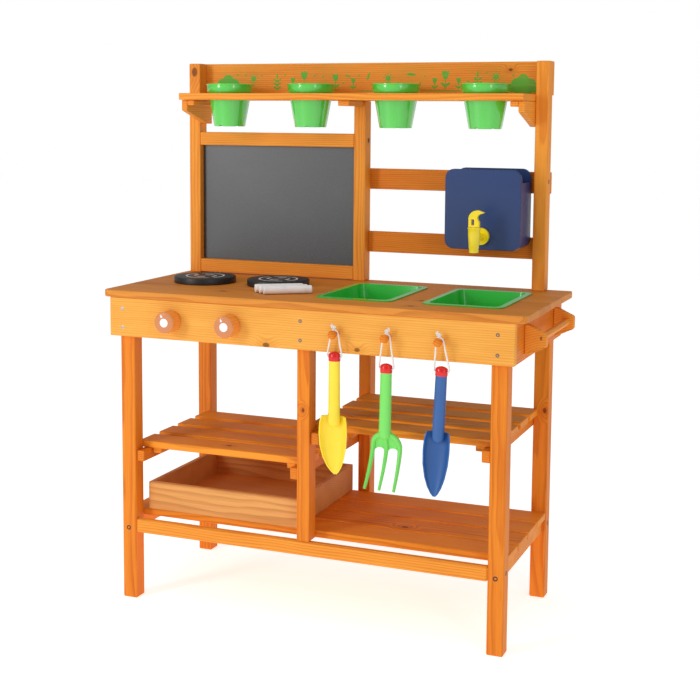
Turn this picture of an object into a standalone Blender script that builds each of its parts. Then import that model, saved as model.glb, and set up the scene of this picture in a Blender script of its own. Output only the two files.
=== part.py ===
"""Child's wooden potting bench: a framed work table with two sinks, two play hob plates,
a drawer tray, slatted shelves, and an upper frame with a pot shelf, a chalkboard and a
hanging water tank.  Metres, +Z up, standing centred over the origin.

Bench coordinates: X runs to the right from the outer face of the left legs, Y runs to the
back from the front face of the front legs, Z is up from the floor.  Everything is parented
to one empty that is moved, at the end, so that the finished bench stands over the origin.
"""
import math

import bmesh
import bpy
from mathutils import Matrix, Vector

MM = 0.001

# ---------------------------------------------------------------- driving dimensions
GAP = 0.3 * MM              # air between pieces that touch
EMBED = 0.5 * MM            # how far nailed or glued members run into each other
EDGE = 1.2 * MM             # eased edge of the sawn wood
BOARD = 14 * MM             # thickness of the table's boards

FRAME_LENGTH = 791 * MM     # over the legs, left to right
FRAME_DEPTH = 352 * MM      # over the legs, front to back
WORKTOP_HEIGHT = 628 * MM
OVERALL_HEIGHT = 1082 * MM

LEG = 31 * MM
POST_WIDTH = 26 * MM        # middle posts and uprights, seen from the front
POST_DEPTH = 31 * MM
MIDDLE_POST_X = 383 * MM    # left face of both middle posts

APRON_HEIGHT = 76.5 * MM
APRON_OVERRUN = 0.5 * MM    # front apron past the side aprons
REAR_APRON_Y = 307 * MM

WORKTOP_LEFT = 30 * MM      # overhang past the legs
WORKTOP_RIGHT = 35 * MM
WORKTOP_FRONT = 17 * MM
WORKTOP_BACK = 1.3 * MM
WORKTOP_CORNER = 13 * MM

RAIL_HEIGHT = 28 * MM       # lower rails
RAIL_Z = 137 * MM
BOTTOM_SLATS = 4
BOTTOM_SLAT = 66 * MM
BOTTOM_SLAT_GAP = 7.2 * MM

UPPER_SLATS = 4
UPPER_SLAT = 57 * MM
UPPER_SLAT_GAP = 20 * MM
LEFT_SHELF_Z = 319 * MM     # top of the slats
RIGHT_SHELF_Z = 391 * MM
SHELF_BEARING = 9 * MM      # slat ends run this far in between the legs
SUPPORT_WIDTH = 16 * MM
SUPPORT_HEIGHT = 22 * MM
SUPPORT_INSET = 5 * MM
BATTEN_WIDTH = 18 * MM
BATTEN_HEIGHT = 11 * MM
BATTEN_SLACK = 3 * MM       # between a shelf's batten and its support

TRAY_SIDE_PLAY = 12 * MM
TRAY_HEIGHT = 56 * MM
TRAY_WALL = 10 * MM
TRAY_FLOOR = 5 * MM
TRAY_SETBACK = 30 * MM
TRAY_DEPTH = 287 * MM

LEFT_UPRIGHT_X = -19 * MM
MIDDLE_UPRIGHT_X = 367 * MM
RIGHT_UPRIGHT_X = 750 * MM
THIN_BOARD = 12 * MM
HEADER_HEIGHT = 67 * MM

POT_SHELF_TOP = 1017 * MM
POT_SHELF_THICKNESS = 14 * MM
POT_SHELF_DEPTH = 126 * MM
POT_BRACKET = 13 * MM
POT_BRACKET_SETBACK = 13 * MM
POT_BRACKET_REAR_HEIGHT = 50 * MM
POT_BRACKET_FRONT_HEIGHT = 22 * MM
POT_BRACKET_HEEL = 21 * MM
POT_BATTEN = 16 * MM
POT_BATTEN_MIDDLE = 24 * MM
POT_BATTEN_END = 2 * MM     # battens stop this far short of the uprights

POT_FIRST_X = 98 * MM
POT_PITCH = 187 * MM
POTS = 4
POT_FROM_FRONT = 58 * MM    # pot centre behind the shelf's front edge
POT_RIM_RADIUS = 49.5 * MM
POT_WALL_RADIUS = 45.4 * MM
POT_BASE_RADIUS = 32.5 * MM
POT_HEIGHT = 89 * MM
POT_BAND = 17.5 * MM
POT_WALL = 1.8 * MM
POT_ABOVE_SHELF = 20 * MM
POT_CLEARANCE = 0.4 * MM

BOARD_RAIL = 28 * MM        # chalkboard rails
BOARD_RAIL_TOP_Z = 935 * MM
BOARD_LAP = 11 * MM
PANEL_THICKNESS = 3.5 * MM

BACK_RAIL = 43 * MM
UPPER_BACK_RAIL_TOP = 863 * MM
LOWER_BACK_RAIL_TOP = 732 * MM

TANK_WIDTH = 154 * MM
TANK_HEIGHT = 158 * MM
TANK_DEPTH = 82 * MM
TANK_WALL = 2.6 * MM
TANK_CORNER = 18 * MM
TANK_BOTTOM = 712 * MM
TANK_RIGHT_PLAY = 9 * MM
TANK_RIM_DIP = 26 * MM
TANK_HOOK_WIDTH = 87 * MM
TANK_HOOK_DROP = 18 * MM
TANK_HOOK = 3 * MM

TAP_Z = 739 * MM
TAP_OFFSET = -1.3 * MM      # tap axis from the middle of the tank
TAP_REACH = 50 * MM         # barrel axis in front of the tank
TAP_FLANGE_RADIUS = 17 * MM
TAP_SHANK_RADIUS = 7.5 * MM
TAP_BARREL_RADIUS = 12.6 * MM
TAP_SPOUT_RADIUS = 9.2 * MM
TAP_BARREL_TOP = 760 * MM
TAP_BARREL_BOTTOM = 711 * MM
TAP_STEM_RADIUS = 5 * MM
LEVER_THICKNESS = 10 * MM

SINK_RIM_X = 156 * MM
SINK_RIM_Y = 232 * MM
SINK_LIP = 9 * MM
SINK_DEPTH = 84 * MM
SINK_TAPER = 10 * MM
SINK_WALL = 2 * MM
SINK_CORNER = 15 * MM
SINK_CENTRES_X = (473.5 * MM, 687 * MM)
SINK_CENTRE_Y = 164 * MM
SINK_CLEARANCE = 1.2 * MM

HOB_RADIUS = 63.5 * MM
HOB_THICKNESS = 13 * MM
HOB_CENTRES = ((97 * MM, 174 * MM), (257 * MM, 188 * MM))

CHALK_LENGTH = 95 * MM
CHALK_RADIUS = 8.2 * MM
CHALK_STICKS = 3
CHALK_STAGGER = 6 * MM     # each stick set back from the one in front
CHALK_CENTRE = (321 * MM, 87 * MM)
CHALK_TURN = 33.7

FITTING_Z = 574.5 * MM      # knobs and pegs on the front apron
KNOB_XS = (123 * MM, 251 * MM)
KNOB_RADIUS = 21 * MM
KNOB_LENGTH = 29 * MM
KNOB_STANDOFF = 0.8 * MM
SHAFT_RADIUS = 4.5 * MM     # knob spindles and peg shanks
SHAFT_CLEARANCE = 0.3 * MM
PEG_XS = (470 * MM, 571 * MM, 672 * MM)
PEG_BALL_RADIUS = 8.2 * MM
PEG_PROJECTION = 24 * MM    # ball centre in front of the apron
PEG_DEPTH = 10 * MM

TOOL_STANDOFF = 12 * MM     # handle axis in front of the apron
HANDLE_WIDTH = 22.8 * MM
HANDLE_DEPTH = 17 * MM
HANDLE_LENGTH = 124 * MM
CAP_HEIGHT = 17 * MM
CAP_HOLE_RADIUS = 2.8 * MM
CAP_HOLE_DROP = 11 * MM     # hole centre below the top of the cap
TOOL_CAP_TOPS = (542 * MM, 528 * MM, 531 * MM)
TOOL_SHIFTS = (0.0, 0.5 * MM, 4.5 * MM)     # cap to the right of its peg
TOOL_LEANS = (0.0, 0.7, 2.3)                # degrees, lower end to the left
BLADE_WIDTHS = (54 * MM, 48 * MM)
BLADE_LENGTHS = (111 * MM, 117 * MM)
BLADE_CURVES = (2 * MM, 14 * MM)            # tip in front of the spine
BLADE_LAP = 20 * MM         # handle into the blade
BLADE_HOLLOW = 16 * MM
BLADE_WALL = 2.4 * MM
TINE_SPREAD = 26 * MM
TINE_SPLAY = 2 * MM         # tips further apart than the shoulders
TINE_LENGTH = 88 * MM       # tips below the handle
TINE_RADIUS = 4.5 * MM
TINE_TAPER = 0.62
TINE_CURVE = 36 * MM
SHOULDER_SETBACK = 11 * MM
SHOULDER_DROP = 24 * MM

CORD_RADIUS = 1.6 * MM
CORD_CLEARANCE = 0.5 * MM
CORD_STEPS = 2              # points read from the curve for each way point

TOWEL_FRONT_Y = 52 * MM     # front face of the front bracket
TOWEL_BACK_Y = 280 * MM
TOWEL_BRACKET = 14 * MM
TOWEL_REACH = 40 * MM
TOWEL_BASE_HEIGHT = 55 * MM
TOWEL_NOSE_HEIGHT = 28 * MM
TOWEL_BAR_RADIUS = 6.5 * MM

# ---------------------------------------------------------------- derived places
LEG_TOP = WORKTOP_HEIGHT - BOARD - GAP
RIGHT_LEG_X = FRAME_LENGTH - LEG
REAR_LEG_Y = FRAME_DEPTH - LEG
APRON_BOTTOM = LEG_TOP - APRON_HEIGHT
APRON_FACE = -BOARD - GAP
RAIL_TOP = RAIL_Z + RAIL_HEIGHT
DECK_TOP = RAIL_TOP + BOARD
UPRIGHT_BACK = FRAME_DEPTH + WORKTOP_BACK
UPRIGHT_FRONT = UPRIGHT_BACK - POST_DEPTH
UPRIGHT_FOOT = WORKTOP_HEIGHT + GAP
POT_SHELF_FRONT = UPRIGHT_BACK - POT_SHELF_DEPTH
POT_SHELF_UNDER = POT_SHELF_TOP - POT_SHELF_THICKNESS
SHELF_LEFT = LEFT_UPRIGHT_X + POST_WIDTH + GAP
SHELF_RIGHT = RIGHT_UPRIGHT_X - GAP
TANK_CENTRE_X = RIGHT_UPRIGHT_X - TANK_RIGHT_PLAY - TANK_WIDTH / 2
TANK_BACK = UPRIGHT_BACK - THIN_BOARD - 2 * GAP
TANK_FRONT = TANK_BACK - TANK_DEPTH
TANK_TOP = TANK_BOTTOM + TANK_HEIGHT
TAP_AXIS_Y = TANK_FRONT - TAP_REACH
TAP_X = TANK_CENTRE_X + TAP_OFFSET
TOOL_Y = APRON_FACE - TOOL_STANDOFF

# ---------------------------------------------------------------- an empty scene
for leftover in list(bpy.data.objects):
    bpy.data.objects.remove(leftover, do_unlink=True)

parts = bpy.data.collections.new("potting_bench")
cutters = bpy.data.collections.new("cutters")
for collection in (parts, cutters):
    bpy.context.scene.collection.children.link(collection)

bench = bpy.data.objects.new("bench_frame", None)
parts.objects.link(bench)


def make_material(name, colour, roughness, metallic=0.0):
    """A plain finish: one colour, one gloss."""
    result = bpy.data.materials.new(name)
    result.use_nodes = True
    shader = result.node_tree.nodes["Principled BSDF"]
    shader.inputs["Base Color"].default_value = (*colour, 1.0)
    shader.inputs["Roughness"].default_value = roughness
    shader.inputs["Metallic"].default_value = metallic
    return result


FRAME_WOOD = make_material("frame_wood", (0.80, 0.31, 0.045), 0.55)
APRON_WOOD = make_material("apron_wood", (0.85, 0.42, 0.09), 0.55)
SHELF_WOOD = make_material("shelf_wood", (0.70, 0.25, 0.04), 0.55)
TRAY_WOOD = make_material("tray_wood", (0.66, 0.30, 0.10), 0.6)
BOARD_BLACK = make_material("chalkboard", (0.03, 0.035, 0.04), 0.5)
HOB_BLACK = make_material("hob_black", (0.015, 0.015, 0.015), 0.5)
POT_GREEN = make_material("pot_green", (0.10, 0.68, 0.10), 0.3)
SINK_GREEN = make_material("sink_green", (0.05, 0.58, 0.05), 0.3)
TANK_BLUE = make_material("tank_navy", (0.035, 0.075, 0.19), 0.4)
TAP_YELLOW = make_material("tap_yellow", (0.95, 0.72, 0.02), 0.3)
TOOL_YELLOW = make_material("tool_yellow", (0.95, 0.76, 0.05), 0.35)
TOOL_GREEN = make_material("tool_green", (0.22, 0.78, 0.17), 0.35)
TOOL_BLUE = make_material("tool_blue", (0.06, 0.17, 0.42), 0.35)
CHALK_WHITE = make_material("chalk_white", (0.86, 0.85, 0.84), 0.8)
STRING_WHITE = make_material("string_white", (0.9, 0.9, 0.88), 0.9)


# ---------------------------------------------------------------- modelling helpers
def add_object(name, mesh, material, is_cutter=False):
    """Put a mesh in the bench, or among the cutters."""
    result = bpy.data.objects.new(name, mesh)
    result.parent = bench
    if is_cutter:
        cutters.objects.link(result)
        result.hide_render = True
        result.display_type = 'WIRE'
    else:
        parts.objects.link(result)
        mesh.materials.append(material)
    return result


def solid_mesh(name, builder):
    """A mesh filled by a function that works on a bmesh."""
    mesh = bpy.data.meshes.new(name)
    form = bmesh.new()
    builder(form)
    bmesh.ops.recalc_face_normals(form, faces=form.faces[:])
    form.to_mesh(mesh)
    form.free()
    return mesh


def block(form, low, high):
    """Add one box between two corners."""
    low = Vector(low)
    high = Vector(high)
    size = high - low
    made = bmesh.ops.create_cube(form, size=1.0)
    matrix = Matrix.Translation((low + high) / 2) @ Matrix.Diagonal((*size, 1.0))
    bmesh.ops.transform(form, matrix=matrix, verts=made["verts"])
    return made["verts"]


def ease(target, width=EDGE, segments=1):
    """Round the sharp edges of a piece."""
    bevel = target.modifiers.new("eased_edges", 'BEVEL')
    bevel.width = width
    bevel.segments = segments
    bevel.limit_method = 'ANGLE'
    bevel.angle_limit = math.radians(35)


def boards(name, material, boxes, edge=EDGE, is_cutter=False):
    """One object made of one or more boxes, with eased edges, its origin at its middle."""
    lows = [Vector(low) for low, high in boxes]
    highs = [Vector(high) for low, high in boxes]
    low = Vector(min(corner[axis] for corner in lows) for axis in range(3))
    high = Vector(max(corner[axis] for corner in highs) for axis in range(3))
    middle = (low + high) / 2

    def build(form):
        for box_low, box_high in zip(lows, highs):
            block(form, box_low - middle, box_high - middle)

    result = add_object(name, solid_mesh(name, build), material, is_cutter)
    result.location = middle
    if edge:
        ease(result, edge)
    return result


def board(name, material, low, high, edge=EDGE):
    """One sawn board."""
    return boards(name, material, [(low, high)], edge)


def combine(target, other, operation='DIFFERENCE'):
    """Cut a piece with another, or join another to it."""
    boolean = target.modifiers.new(other.name, 'BOOLEAN')
    boolean.operation = operation
    boolean.solver = 'EXACT'
    boolean.object = other
    return target


def cylinder(name, radius, low, high, axis='Z', segments=32, material=None):
    """A plain round bar between two heights along an axis; a cutter unless it has a material."""
    centre = (Vector(low) + Vector(high)) / 2
    length = (Vector(high) - Vector(low)).length
    turns = {'X': Matrix.Rotation(math.pi / 2, 4, 'Y'),
             'Y': Matrix.Rotation(-math.pi / 2, 4, 'X'),
             'Z': Matrix.Identity(4)}

    def build(form):
        bmesh.ops.create_cone(form, cap_ends=True, segments=segments, radius1=radius,
                              radius2=radius, depth=length, matrix=turns[axis])

    result = add_object(name, solid_mesh(name, build), material, material is None)
    result.location = centre
    return result


def turned(name, profile, material=None, steps=32, smooth_angle=35):
    """A lathe-turned shape about local Z: the profile is (radius, height), top to bottom."""
    mesh = bpy.data.meshes.new(name)
    points = [(radius, 0.0, height) for radius, height in profile]
    mesh.from_pydata(points, [(i, i + 1) for i in range(len(points) - 1)], [])
    result = add_object(name, mesh, material, material is None)
    screw = result.modifiers.new("turning", 'SCREW')
    screw.axis = 'Z'
    screw.angle = 2 * math.pi
    screw.steps = steps
    screw.render_steps = steps
    screw.use_merge_vertices = True
    screw.merge_threshold = 0.00005
    return result


def outline(name, points, thickness, matrix, material=None, edge=0.0):
    """A flat shape cut from sheet: points in its own plane, extruded both ways."""
    curve = bpy.data.curves.new(name, 'CURVE')
    curve.dimensions = '2D'
    curve.fill_mode = 'BOTH'
    curve.extrude = thickness / 2
    spline = curve.splines.new('POLY')
    spline.points.add(len(points) - 1)
    for point, (x, y) in zip(spline.points, points):
        point.co = (x, y, 0.0, 1.0)
    spline.use_cyclic_u = True
    result = as_mesh(name, curve, material)
    result.matrix_local = matrix
    if edge:
        ease(result, edge)
    return result


def tube(name, points, radius, material=None, resolution=2):
    """A round bar or cord along smooth points, with capped ends."""
    curve = bpy.data.curves.new(name, 'CURVE')
    curve.dimensions = '3D'
    curve.bevel_depth = radius
    curve.bevel_resolution = resolution
    curve.use_fill_caps = True
    spline = curve.splines.new('POLY')
    spline.points.add(len(points) - 1)
    for point, place in zip(spline.points, points):
        point.co = (*place[:3], 1.0)
        if len(place) > 3:
            point.radius = place[3]
    return as_mesh(name, curve, material)


def as_mesh(name, curve, material):
    """Turn a curve into a closed mesh object."""
    guide = bpy.data.objects.new(name + "_guide", curve)
    bpy.context.scene.collection.objects.link(guide)
    bpy.context.view_layer.update()
    graph = bpy.context.evaluated_depsgraph_get()
    mesh = bpy.data.meshes.new_from_object(guide.evaluated_get(graph))
    bpy.data.objects.remove(guide, do_unlink=True)
    bpy.data.curves.remove(curve)
    form = bmesh.new()
    form.from_mesh(mesh)
    bmesh.ops.remove_doubles(form, verts=form.verts[:], dist=0.00001)
    bmesh.ops.recalc_face_normals(form, faces=form.faces[:])
    form.to_mesh(mesh)
    form.free()
    mesh.materials.clear()
    return add_object(name, mesh, material, material is None)


def arc(centre, radius, start, end, steps):
    """Points along an arc, angles in degrees."""
    result = []
    for i in range(steps + 1):
        angle = math.radians(start + (end - start) * i / steps)
        result.append((centre[0] + radius * math.cos(angle),
                       centre[1] + radius * math.sin(angle)))
    return result


def rounded_rectangle(width, height, radius, steps=4):
    """Outline of a rectangle about its middle, with round corners."""
    result = []
    corners = ((1, 1, 0), (-1, 1, 90), (-1, -1, 180), (1, -1, 270))
    for side_x, side_y, start in corners:
        centre = (side_x * (width / 2 - radius), side_y * (height / 2 - radius))
        result += arc(centre, radius, start, start + 90, steps)
    return result


def upright_plane(x, y, z):
    """Stands a flat outline up in the XZ plane, facing the front."""
    return Matrix.Translation((x, y, z)) @ Matrix.Rotation(math.pi / 2, 4, 'X')


def side_plane(x, y, z):
    """Stands a flat outline up in the YZ plane, outline X to the back, outline Y up."""
    return Matrix.Translation((x, y, z)) @ Matrix(((0, 0, 1, 0), (1, 0, 0, 0), (0, 1, 0, 0), (0, 0, 0, 1)))


# ---------------------------------------------------------------- table frame
def make_legs():
    for side, x in (("left", 0.0), ("right", RIGHT_LEG_X)):
        for row, y in (("front", 0.0), ("rear", REAR_LEG_Y)):
            board(f"leg_{row}_{side}", FRAME_WOOD, (x, y, 0.0), (x + LEG, y + LEG, LEG_TOP), 1.8 * MM)
    for row, y in (("front", 0.0), ("rear", REAR_LEG_Y)):
        low = (MIDDLE_POST_X, y, RAIL_TOP + GAP)
        high = (MIDDLE_POST_X + POST_WIDTH, y + POST_DEPTH, LEG_TOP)
        board(f"middle_post_{row}", FRAME_WOOD, low, high)


def make_aprons():
    front_left = -BOARD - GAP - APRON_OVERRUN
    front_right = FRAME_LENGTH + BOARD + GAP + APRON_OVERRUN
    front = board("apron_front", APRON_WOOD, (front_left, APRON_FACE, APRON_BOTTOM),
                  (front_right, -GAP, LEG_TOP))
    for number, x in enumerate(KNOB_XS, start=1):
        drill = cylinder(f"knob_hole_{number}", SHAFT_RADIUS + SHAFT_CLEARANCE,
                         (x, APRON_FACE - BOARD, FITTING_Z), (x, BOARD, FITTING_Z), 'Y', 20)
        combine(front, drill)
    for number, x in enumerate(PEG_XS, start=1):
        drill = cylinder(f"peg_hole_{number}", SHAFT_RADIUS + SHAFT_CLEARANCE,
                         (x, APRON_FACE - BOARD, FITTING_Z),
                         (x, APRON_FACE + PEG_DEPTH + GAP, FITTING_Z), 'Y', 20)
        combine(front, drill)
    for side, x in (("left", -BOARD - GAP), ("right", FRAME_LENGTH + GAP)):
        board(f"apron_{side}", APRON_WOOD, (x, 0.0, APRON_BOTTOM), (x + BOARD, FRAME_DEPTH, LEG_TOP))
    board("apron_rear", APRON_WOOD, (0.0, REAR_APRON_Y, APRON_BOTTOM),
          (FRAME_LENGTH, REAR_LEG_Y - GAP, LEG_TOP))


def make_lower_rails():
    for row, y in (("front", 0.0), ("rear", FRAME_DEPTH - BOARD)):
        board(f"lower_rail_{row}", FRAME_WOOD, (LEG + GAP, y, RAIL_Z),
              (RIGHT_LEG_X - GAP, y + BOARD, RAIL_TOP), 2.5 * MM)


def slats(name, material, count, width, gap, left, right, top):
    """Slats centred between the front and rear legs, nailed down on what is below them."""
    span = count * width + (count - 1) * gap
    first = (FRAME_DEPTH - span) / 2
    boxes = []
    for i in range(count):
        y = first + i * (width + gap)
        boxes.append(((left, y, top - BOARD), (right, y + width, top)))
    return boards(name, material, boxes), first, first + span


def notch_round_legs(deck, low_z, high_z):
    """A slat wide enough to reach a leg or a middle post is cut away round it."""
    widths = ((-BOARD, LEG + GAP), (MIDDLE_POST_X - GAP, MIDDLE_POST_X + POST_WIDTH + GAP),
              (RIGHT_LEG_X - GAP, FRAME_LENGTH + BOARD))
    depths = ((-BOARD, LEG + GAP), (REAR_LEG_Y - GAP, FRAME_DEPTH + BOARD))
    for left, right in widths:
        for front, back in depths:
            combine(deck, boards("leg_notch", None, [((left, front, low_z), (right, back, high_z))], 0.0, True))


def make_bottom_shelf():
    """Slats on two side rails that are held between the legs; a wide slat is notched round a leg."""
    deck, front, back = slats("bottom_shelf", SHELF_WOOD, BOTTOM_SLATS, BOTTOM_SLAT, BOTTOM_SLAT_GAP,
                              1 * MM, FRAME_LENGTH - 1 * MM, DECK_TOP)
    notch_round_legs(deck, RAIL_Z - EDGE, DECK_TOP + EDGE)
    rails = []
    for middle in (LEG / 2, FRAME_LENGTH - LEG / 2):
        rails.append(((middle - BOARD / 2, LEG + GAP, RAIL_Z),
                      (middle + BOARD / 2, REAR_LEG_Y - GAP, RAIL_TOP + EMBED)))
    combine(deck, boards("bottom_side_rails", None, rails, EDGE, True), 'UNION')


def make_upper_shelf(side, left_face, right_face, top):
    """A slatted shelf that lies on two supports, with battens that keep it between them."""
    left = left_face - SHELF_BEARING
    right = right_face + SHELF_BEARING
    deck, front, back = slats(f"shelf_{side}", SHELF_WOOD, UPPER_SLATS, UPPER_SLAT, UPPER_SLAT_GAP,
                              left, right, top)
    under = top - BOARD
    notch_round_legs(deck, under - EDGE, top + EDGE)
    inset = SUPPORT_WIDTH + BATTEN_SLACK
    battens = []
    for low_x in (left_face + inset, right_face - inset - BATTEN_WIDTH):
        battens.append(((low_x, front + SUPPORT_INSET, under - BATTEN_HEIGHT),
                        (low_x + BATTEN_WIDTH, back - SUPPORT_INSET, under + EMBED)))
    combine(deck, boards(f"shelf_{side}_battens", None, battens, EDGE, True), 'UNION')
    for end, low_x in (("left", left_face + GAP), ("right", right_face - GAP - SUPPORT_WIDTH)):
        board(f"shelf_{side}_support_{end}", FRAME_WOOD,
              (low_x, SUPPORT_INSET, under - GAP - SUPPORT_HEIGHT),
              (low_x + SUPPORT_WIDTH, FRAME_DEPTH - SUPPORT_INSET, under - GAP))


def make_worktop():
    low = Vector((-WORKTOP_LEFT, -WORKTOP_FRONT, WORKTOP_HEIGHT - BOARD))
    high = Vector((FRAME_LENGTH + WORKTOP_RIGHT, FRAME_DEPTH + WORKTOP_BACK, WORKTOP_HEIGHT))
    middle = (low + high) / 2

    def build(form):
        block(form, low - middle, high - middle)
        front_corners = [edge for edge in form.edges
                         if all(vert.co.y < 0 for vert in edge.verts)
                         and abs(edge.verts[0].co.z - edge.verts[1].co.z) > BOARD / 2]
        bmesh.ops.bevel(form, geom=front_corners, offset=WORKTOP_CORNER, segments=3,
                        profile=0.5, affect='EDGES')

    top = add_object("worktop", solid_mesh("worktop", build), APRON_WOOD)
    top.location = middle
    ease(top, 2 * MM, 2)
    for number, x in enumerate(SINK_CENTRES_X, start=1):
        hole = rounded_rectangle(SINK_RIM_X - 2 * SINK_LIP + 2 * SINK_CLEARANCE,
                                 SINK_RIM_Y - 2 * SINK_LIP + 2 * SINK_CLEARANCE, SINK_CORNER)
        matrix = Matrix.Translation((x, SINK_CENTRE_Y, WORKTOP_HEIGHT - BOARD / 2))
        combine(top, outline(f"sink_hole_{number}", hole, 3 * BOARD, matrix))


# ---------------------------------------------------------------- upper frame
def make_uprights():
    """Two outer uprights that carry the header board, and a middle one under the pot shelf."""
    places = (("left", LEFT_UPRIGHT_X, OVERALL_HEIGHT), ("middle", MIDDLE_UPRIGHT_X, POT_SHELF_UNDER - GAP),
              ("right", RIGHT_UPRIGHT_X, OVERALL_HEIGHT))
    for side, x, top in places:
        board(f"upright_{side}", FRAME_WOOD,
              (x, UPRIGHT_FRONT, UPRIGHT_FOOT), (x + POST_WIDTH, UPRIGHT_BACK, top))
    board("header_board", FRAME_WOOD,
          (LEFT_UPRIGHT_X, UPRIGHT_BACK + GAP, OVERALL_HEIGHT - HEADER_HEIGHT),
          (RIGHT_UPRIGHT_X + POST_WIDTH, UPRIGHT_BACK + GAP + THIN_BOARD, OVERALL_HEIGHT))


def make_back_rails():
    board("back_rail_upper", FRAME_WOOD,
          (MIDDLE_UPRIGHT_X + GAP, UPRIGHT_BACK + GAP, UPPER_BACK_RAIL_TOP - BACK_RAIL),
          (RIGHT_UPRIGHT_X + POST_WIDTH, UPRIGHT_BACK + GAP + THIN_BOARD, UPPER_BACK_RAIL_TOP))
    board("back_rail_lower", FRAME_WOOD,
          (MIDDLE_UPRIGHT_X + POST_WIDTH + GAP, UPRIGHT_BACK - THIN_BOARD, LOWER_BACK_RAIL_TOP - BACK_RAIL),
          (RIGHT_UPRIGHT_X - GAP, UPRIGHT_BACK, LOWER_BACK_RAIL_TOP))


def make_chalkboard():
    left = LEFT_UPRIGHT_X + POST_WIDTH + GAP
    right = MIDDLE_UPRIGHT_X - GAP
    lower_z = WORKTOP_HEIGHT + 2 * MM
    for level, low_z in (("top", BOARD_RAIL_TOP_Z - BOARD_RAIL), ("bottom", lower_z)):
        board(f"chalkboard_rail_{level}", FRAME_WOOD, (left, UPRIGHT_FRONT, low_z),
              (right, UPRIGHT_FRONT + BOARD, low_z + BOARD_RAIL))
    panel_y = UPRIGHT_FRONT + BOARD + GAP
    board("chalkboard_panel", BOARD_BLACK, (left, panel_y, lower_z + BOARD_RAIL - BOARD_LAP),
          (right, panel_y + PANEL_THICKNESS, BOARD_RAIL_TOP_Z - BOARD_RAIL + BOARD_LAP), 0.5 * MM)


def pot_wall_radius(below_band):
    """Outer radius of the pot's tapered wall, measured down from under its band."""
    share = below_band / (POT_HEIGHT - POT_BAND)
    return POT_WALL_RADIUS + (POT_BASE_RADIUS - POT_WALL_RADIUS) * share


def make_pot_shelf():
    """A board between the outer uprights, on the middle one, with a hole for each pot."""
    shelf = board("pot_shelf", FRAME_WOOD, (SHELF_LEFT, POT_SHELF_FRONT, POT_SHELF_UNDER),
                  (SHELF_RIGHT, UPRIGHT_BACK, POT_SHELF_TOP))
    hole_radius = pot_wall_radius(POT_ABOVE_SHELF - POT_BAND) + POT_CLEARANCE
    for number in range(1, POTS + 1):
        x = POT_FIRST_X + (number - 1) * POT_PITCH
        y = POT_SHELF_FRONT + POT_FROM_FRONT
        combine(shelf, cylinder(f"pot_hole_{number}", hole_radius,
                                (x, y, POT_SHELF_UNDER - BOARD), (x, y, POT_SHELF_TOP + BOARD), 'Z', 48))


def make_pot_brackets():
    """Side plates under the pot shelf, and the battens that stiffen it."""
    depth = POT_SHELF_DEPTH - POT_BRACKET_SETBACK
    shape = [(0.0, 0.0), (0.0, -POT_BRACKET_FRONT_HEIGHT),
             (depth - POT_BRACKET_HEEL, -POT_BRACKET_REAR_HEIGHT), (depth, -POT_BRACKET_REAR_HEIGHT),
             (depth, 0.0)]
    front = POT_SHELF_FRONT + POT_BRACKET_SETBACK
    top = POT_SHELF_UNDER - GAP
    left_middle = SHELF_LEFT + POT_BRACKET / 2
    right_middle = SHELF_RIGHT - POT_BRACKET / 2
    for side, x in (("left", left_middle), ("right", right_middle)):
        outline(f"pot_bracket_{side}", shape, POT_BRACKET, side_plane(x, front, top), FRAME_WOOD, EDGE)
    batten_xs = (("left", SHELF_LEFT + POT_BRACKET + GAP, POT_BATTEN),
                 ("middle", MIDDLE_UPRIGHT_X - 3 * MM, POT_BATTEN_MIDDLE),
                 ("right", SHELF_RIGHT - POT_BRACKET - GAP - POT_BATTEN, POT_BATTEN))
    for side, x, width in batten_xs:
        board(f"pot_batten_{side}", FRAME_WOOD, (x, front, top - BATTEN_HEIGHT),
              (x + width, UPRIGHT_FRONT - POT_BATTEN_END, top))


def make_pots():
    """Four flared pots that hang in the shelf by their taper."""
    top = POT_ABOVE_SHELF
    band_bottom = top - POT_BAND
    base = top - POT_HEIGHT
    profile = [(POT_RIM_RADIUS, top), (POT_RIM_RADIUS, top - 1.6 * MM),
               (POT_RIM_RADIUS - 1.2 * MM, top - 3 * MM), (POT_RIM_RADIUS - 1.8 * MM, band_bottom),
               (POT_WALL_RADIUS, band_bottom), (POT_BASE_RADIUS, base), (0.0, base),
               (0.0, base + POT_WALL), (POT_BASE_RADIUS - POT_WALL, base + POT_WALL),
               (POT_WALL_RADIUS - POT_WALL, band_bottom + POT_WALL),
               (POT_RIM_RADIUS - POT_WALL, top), (POT_RIM_RADIUS, top)]
    for number in range(1, POTS + 1):
        pot = turned(f"pot_{number}", profile, POT_GREEN, 40)
        pot.location = (POT_FIRST_X + (number - 1) * POT_PITCH, POT_SHELF_FRONT + POT_FROM_FRONT,
                        POT_SHELF_TOP)


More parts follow.
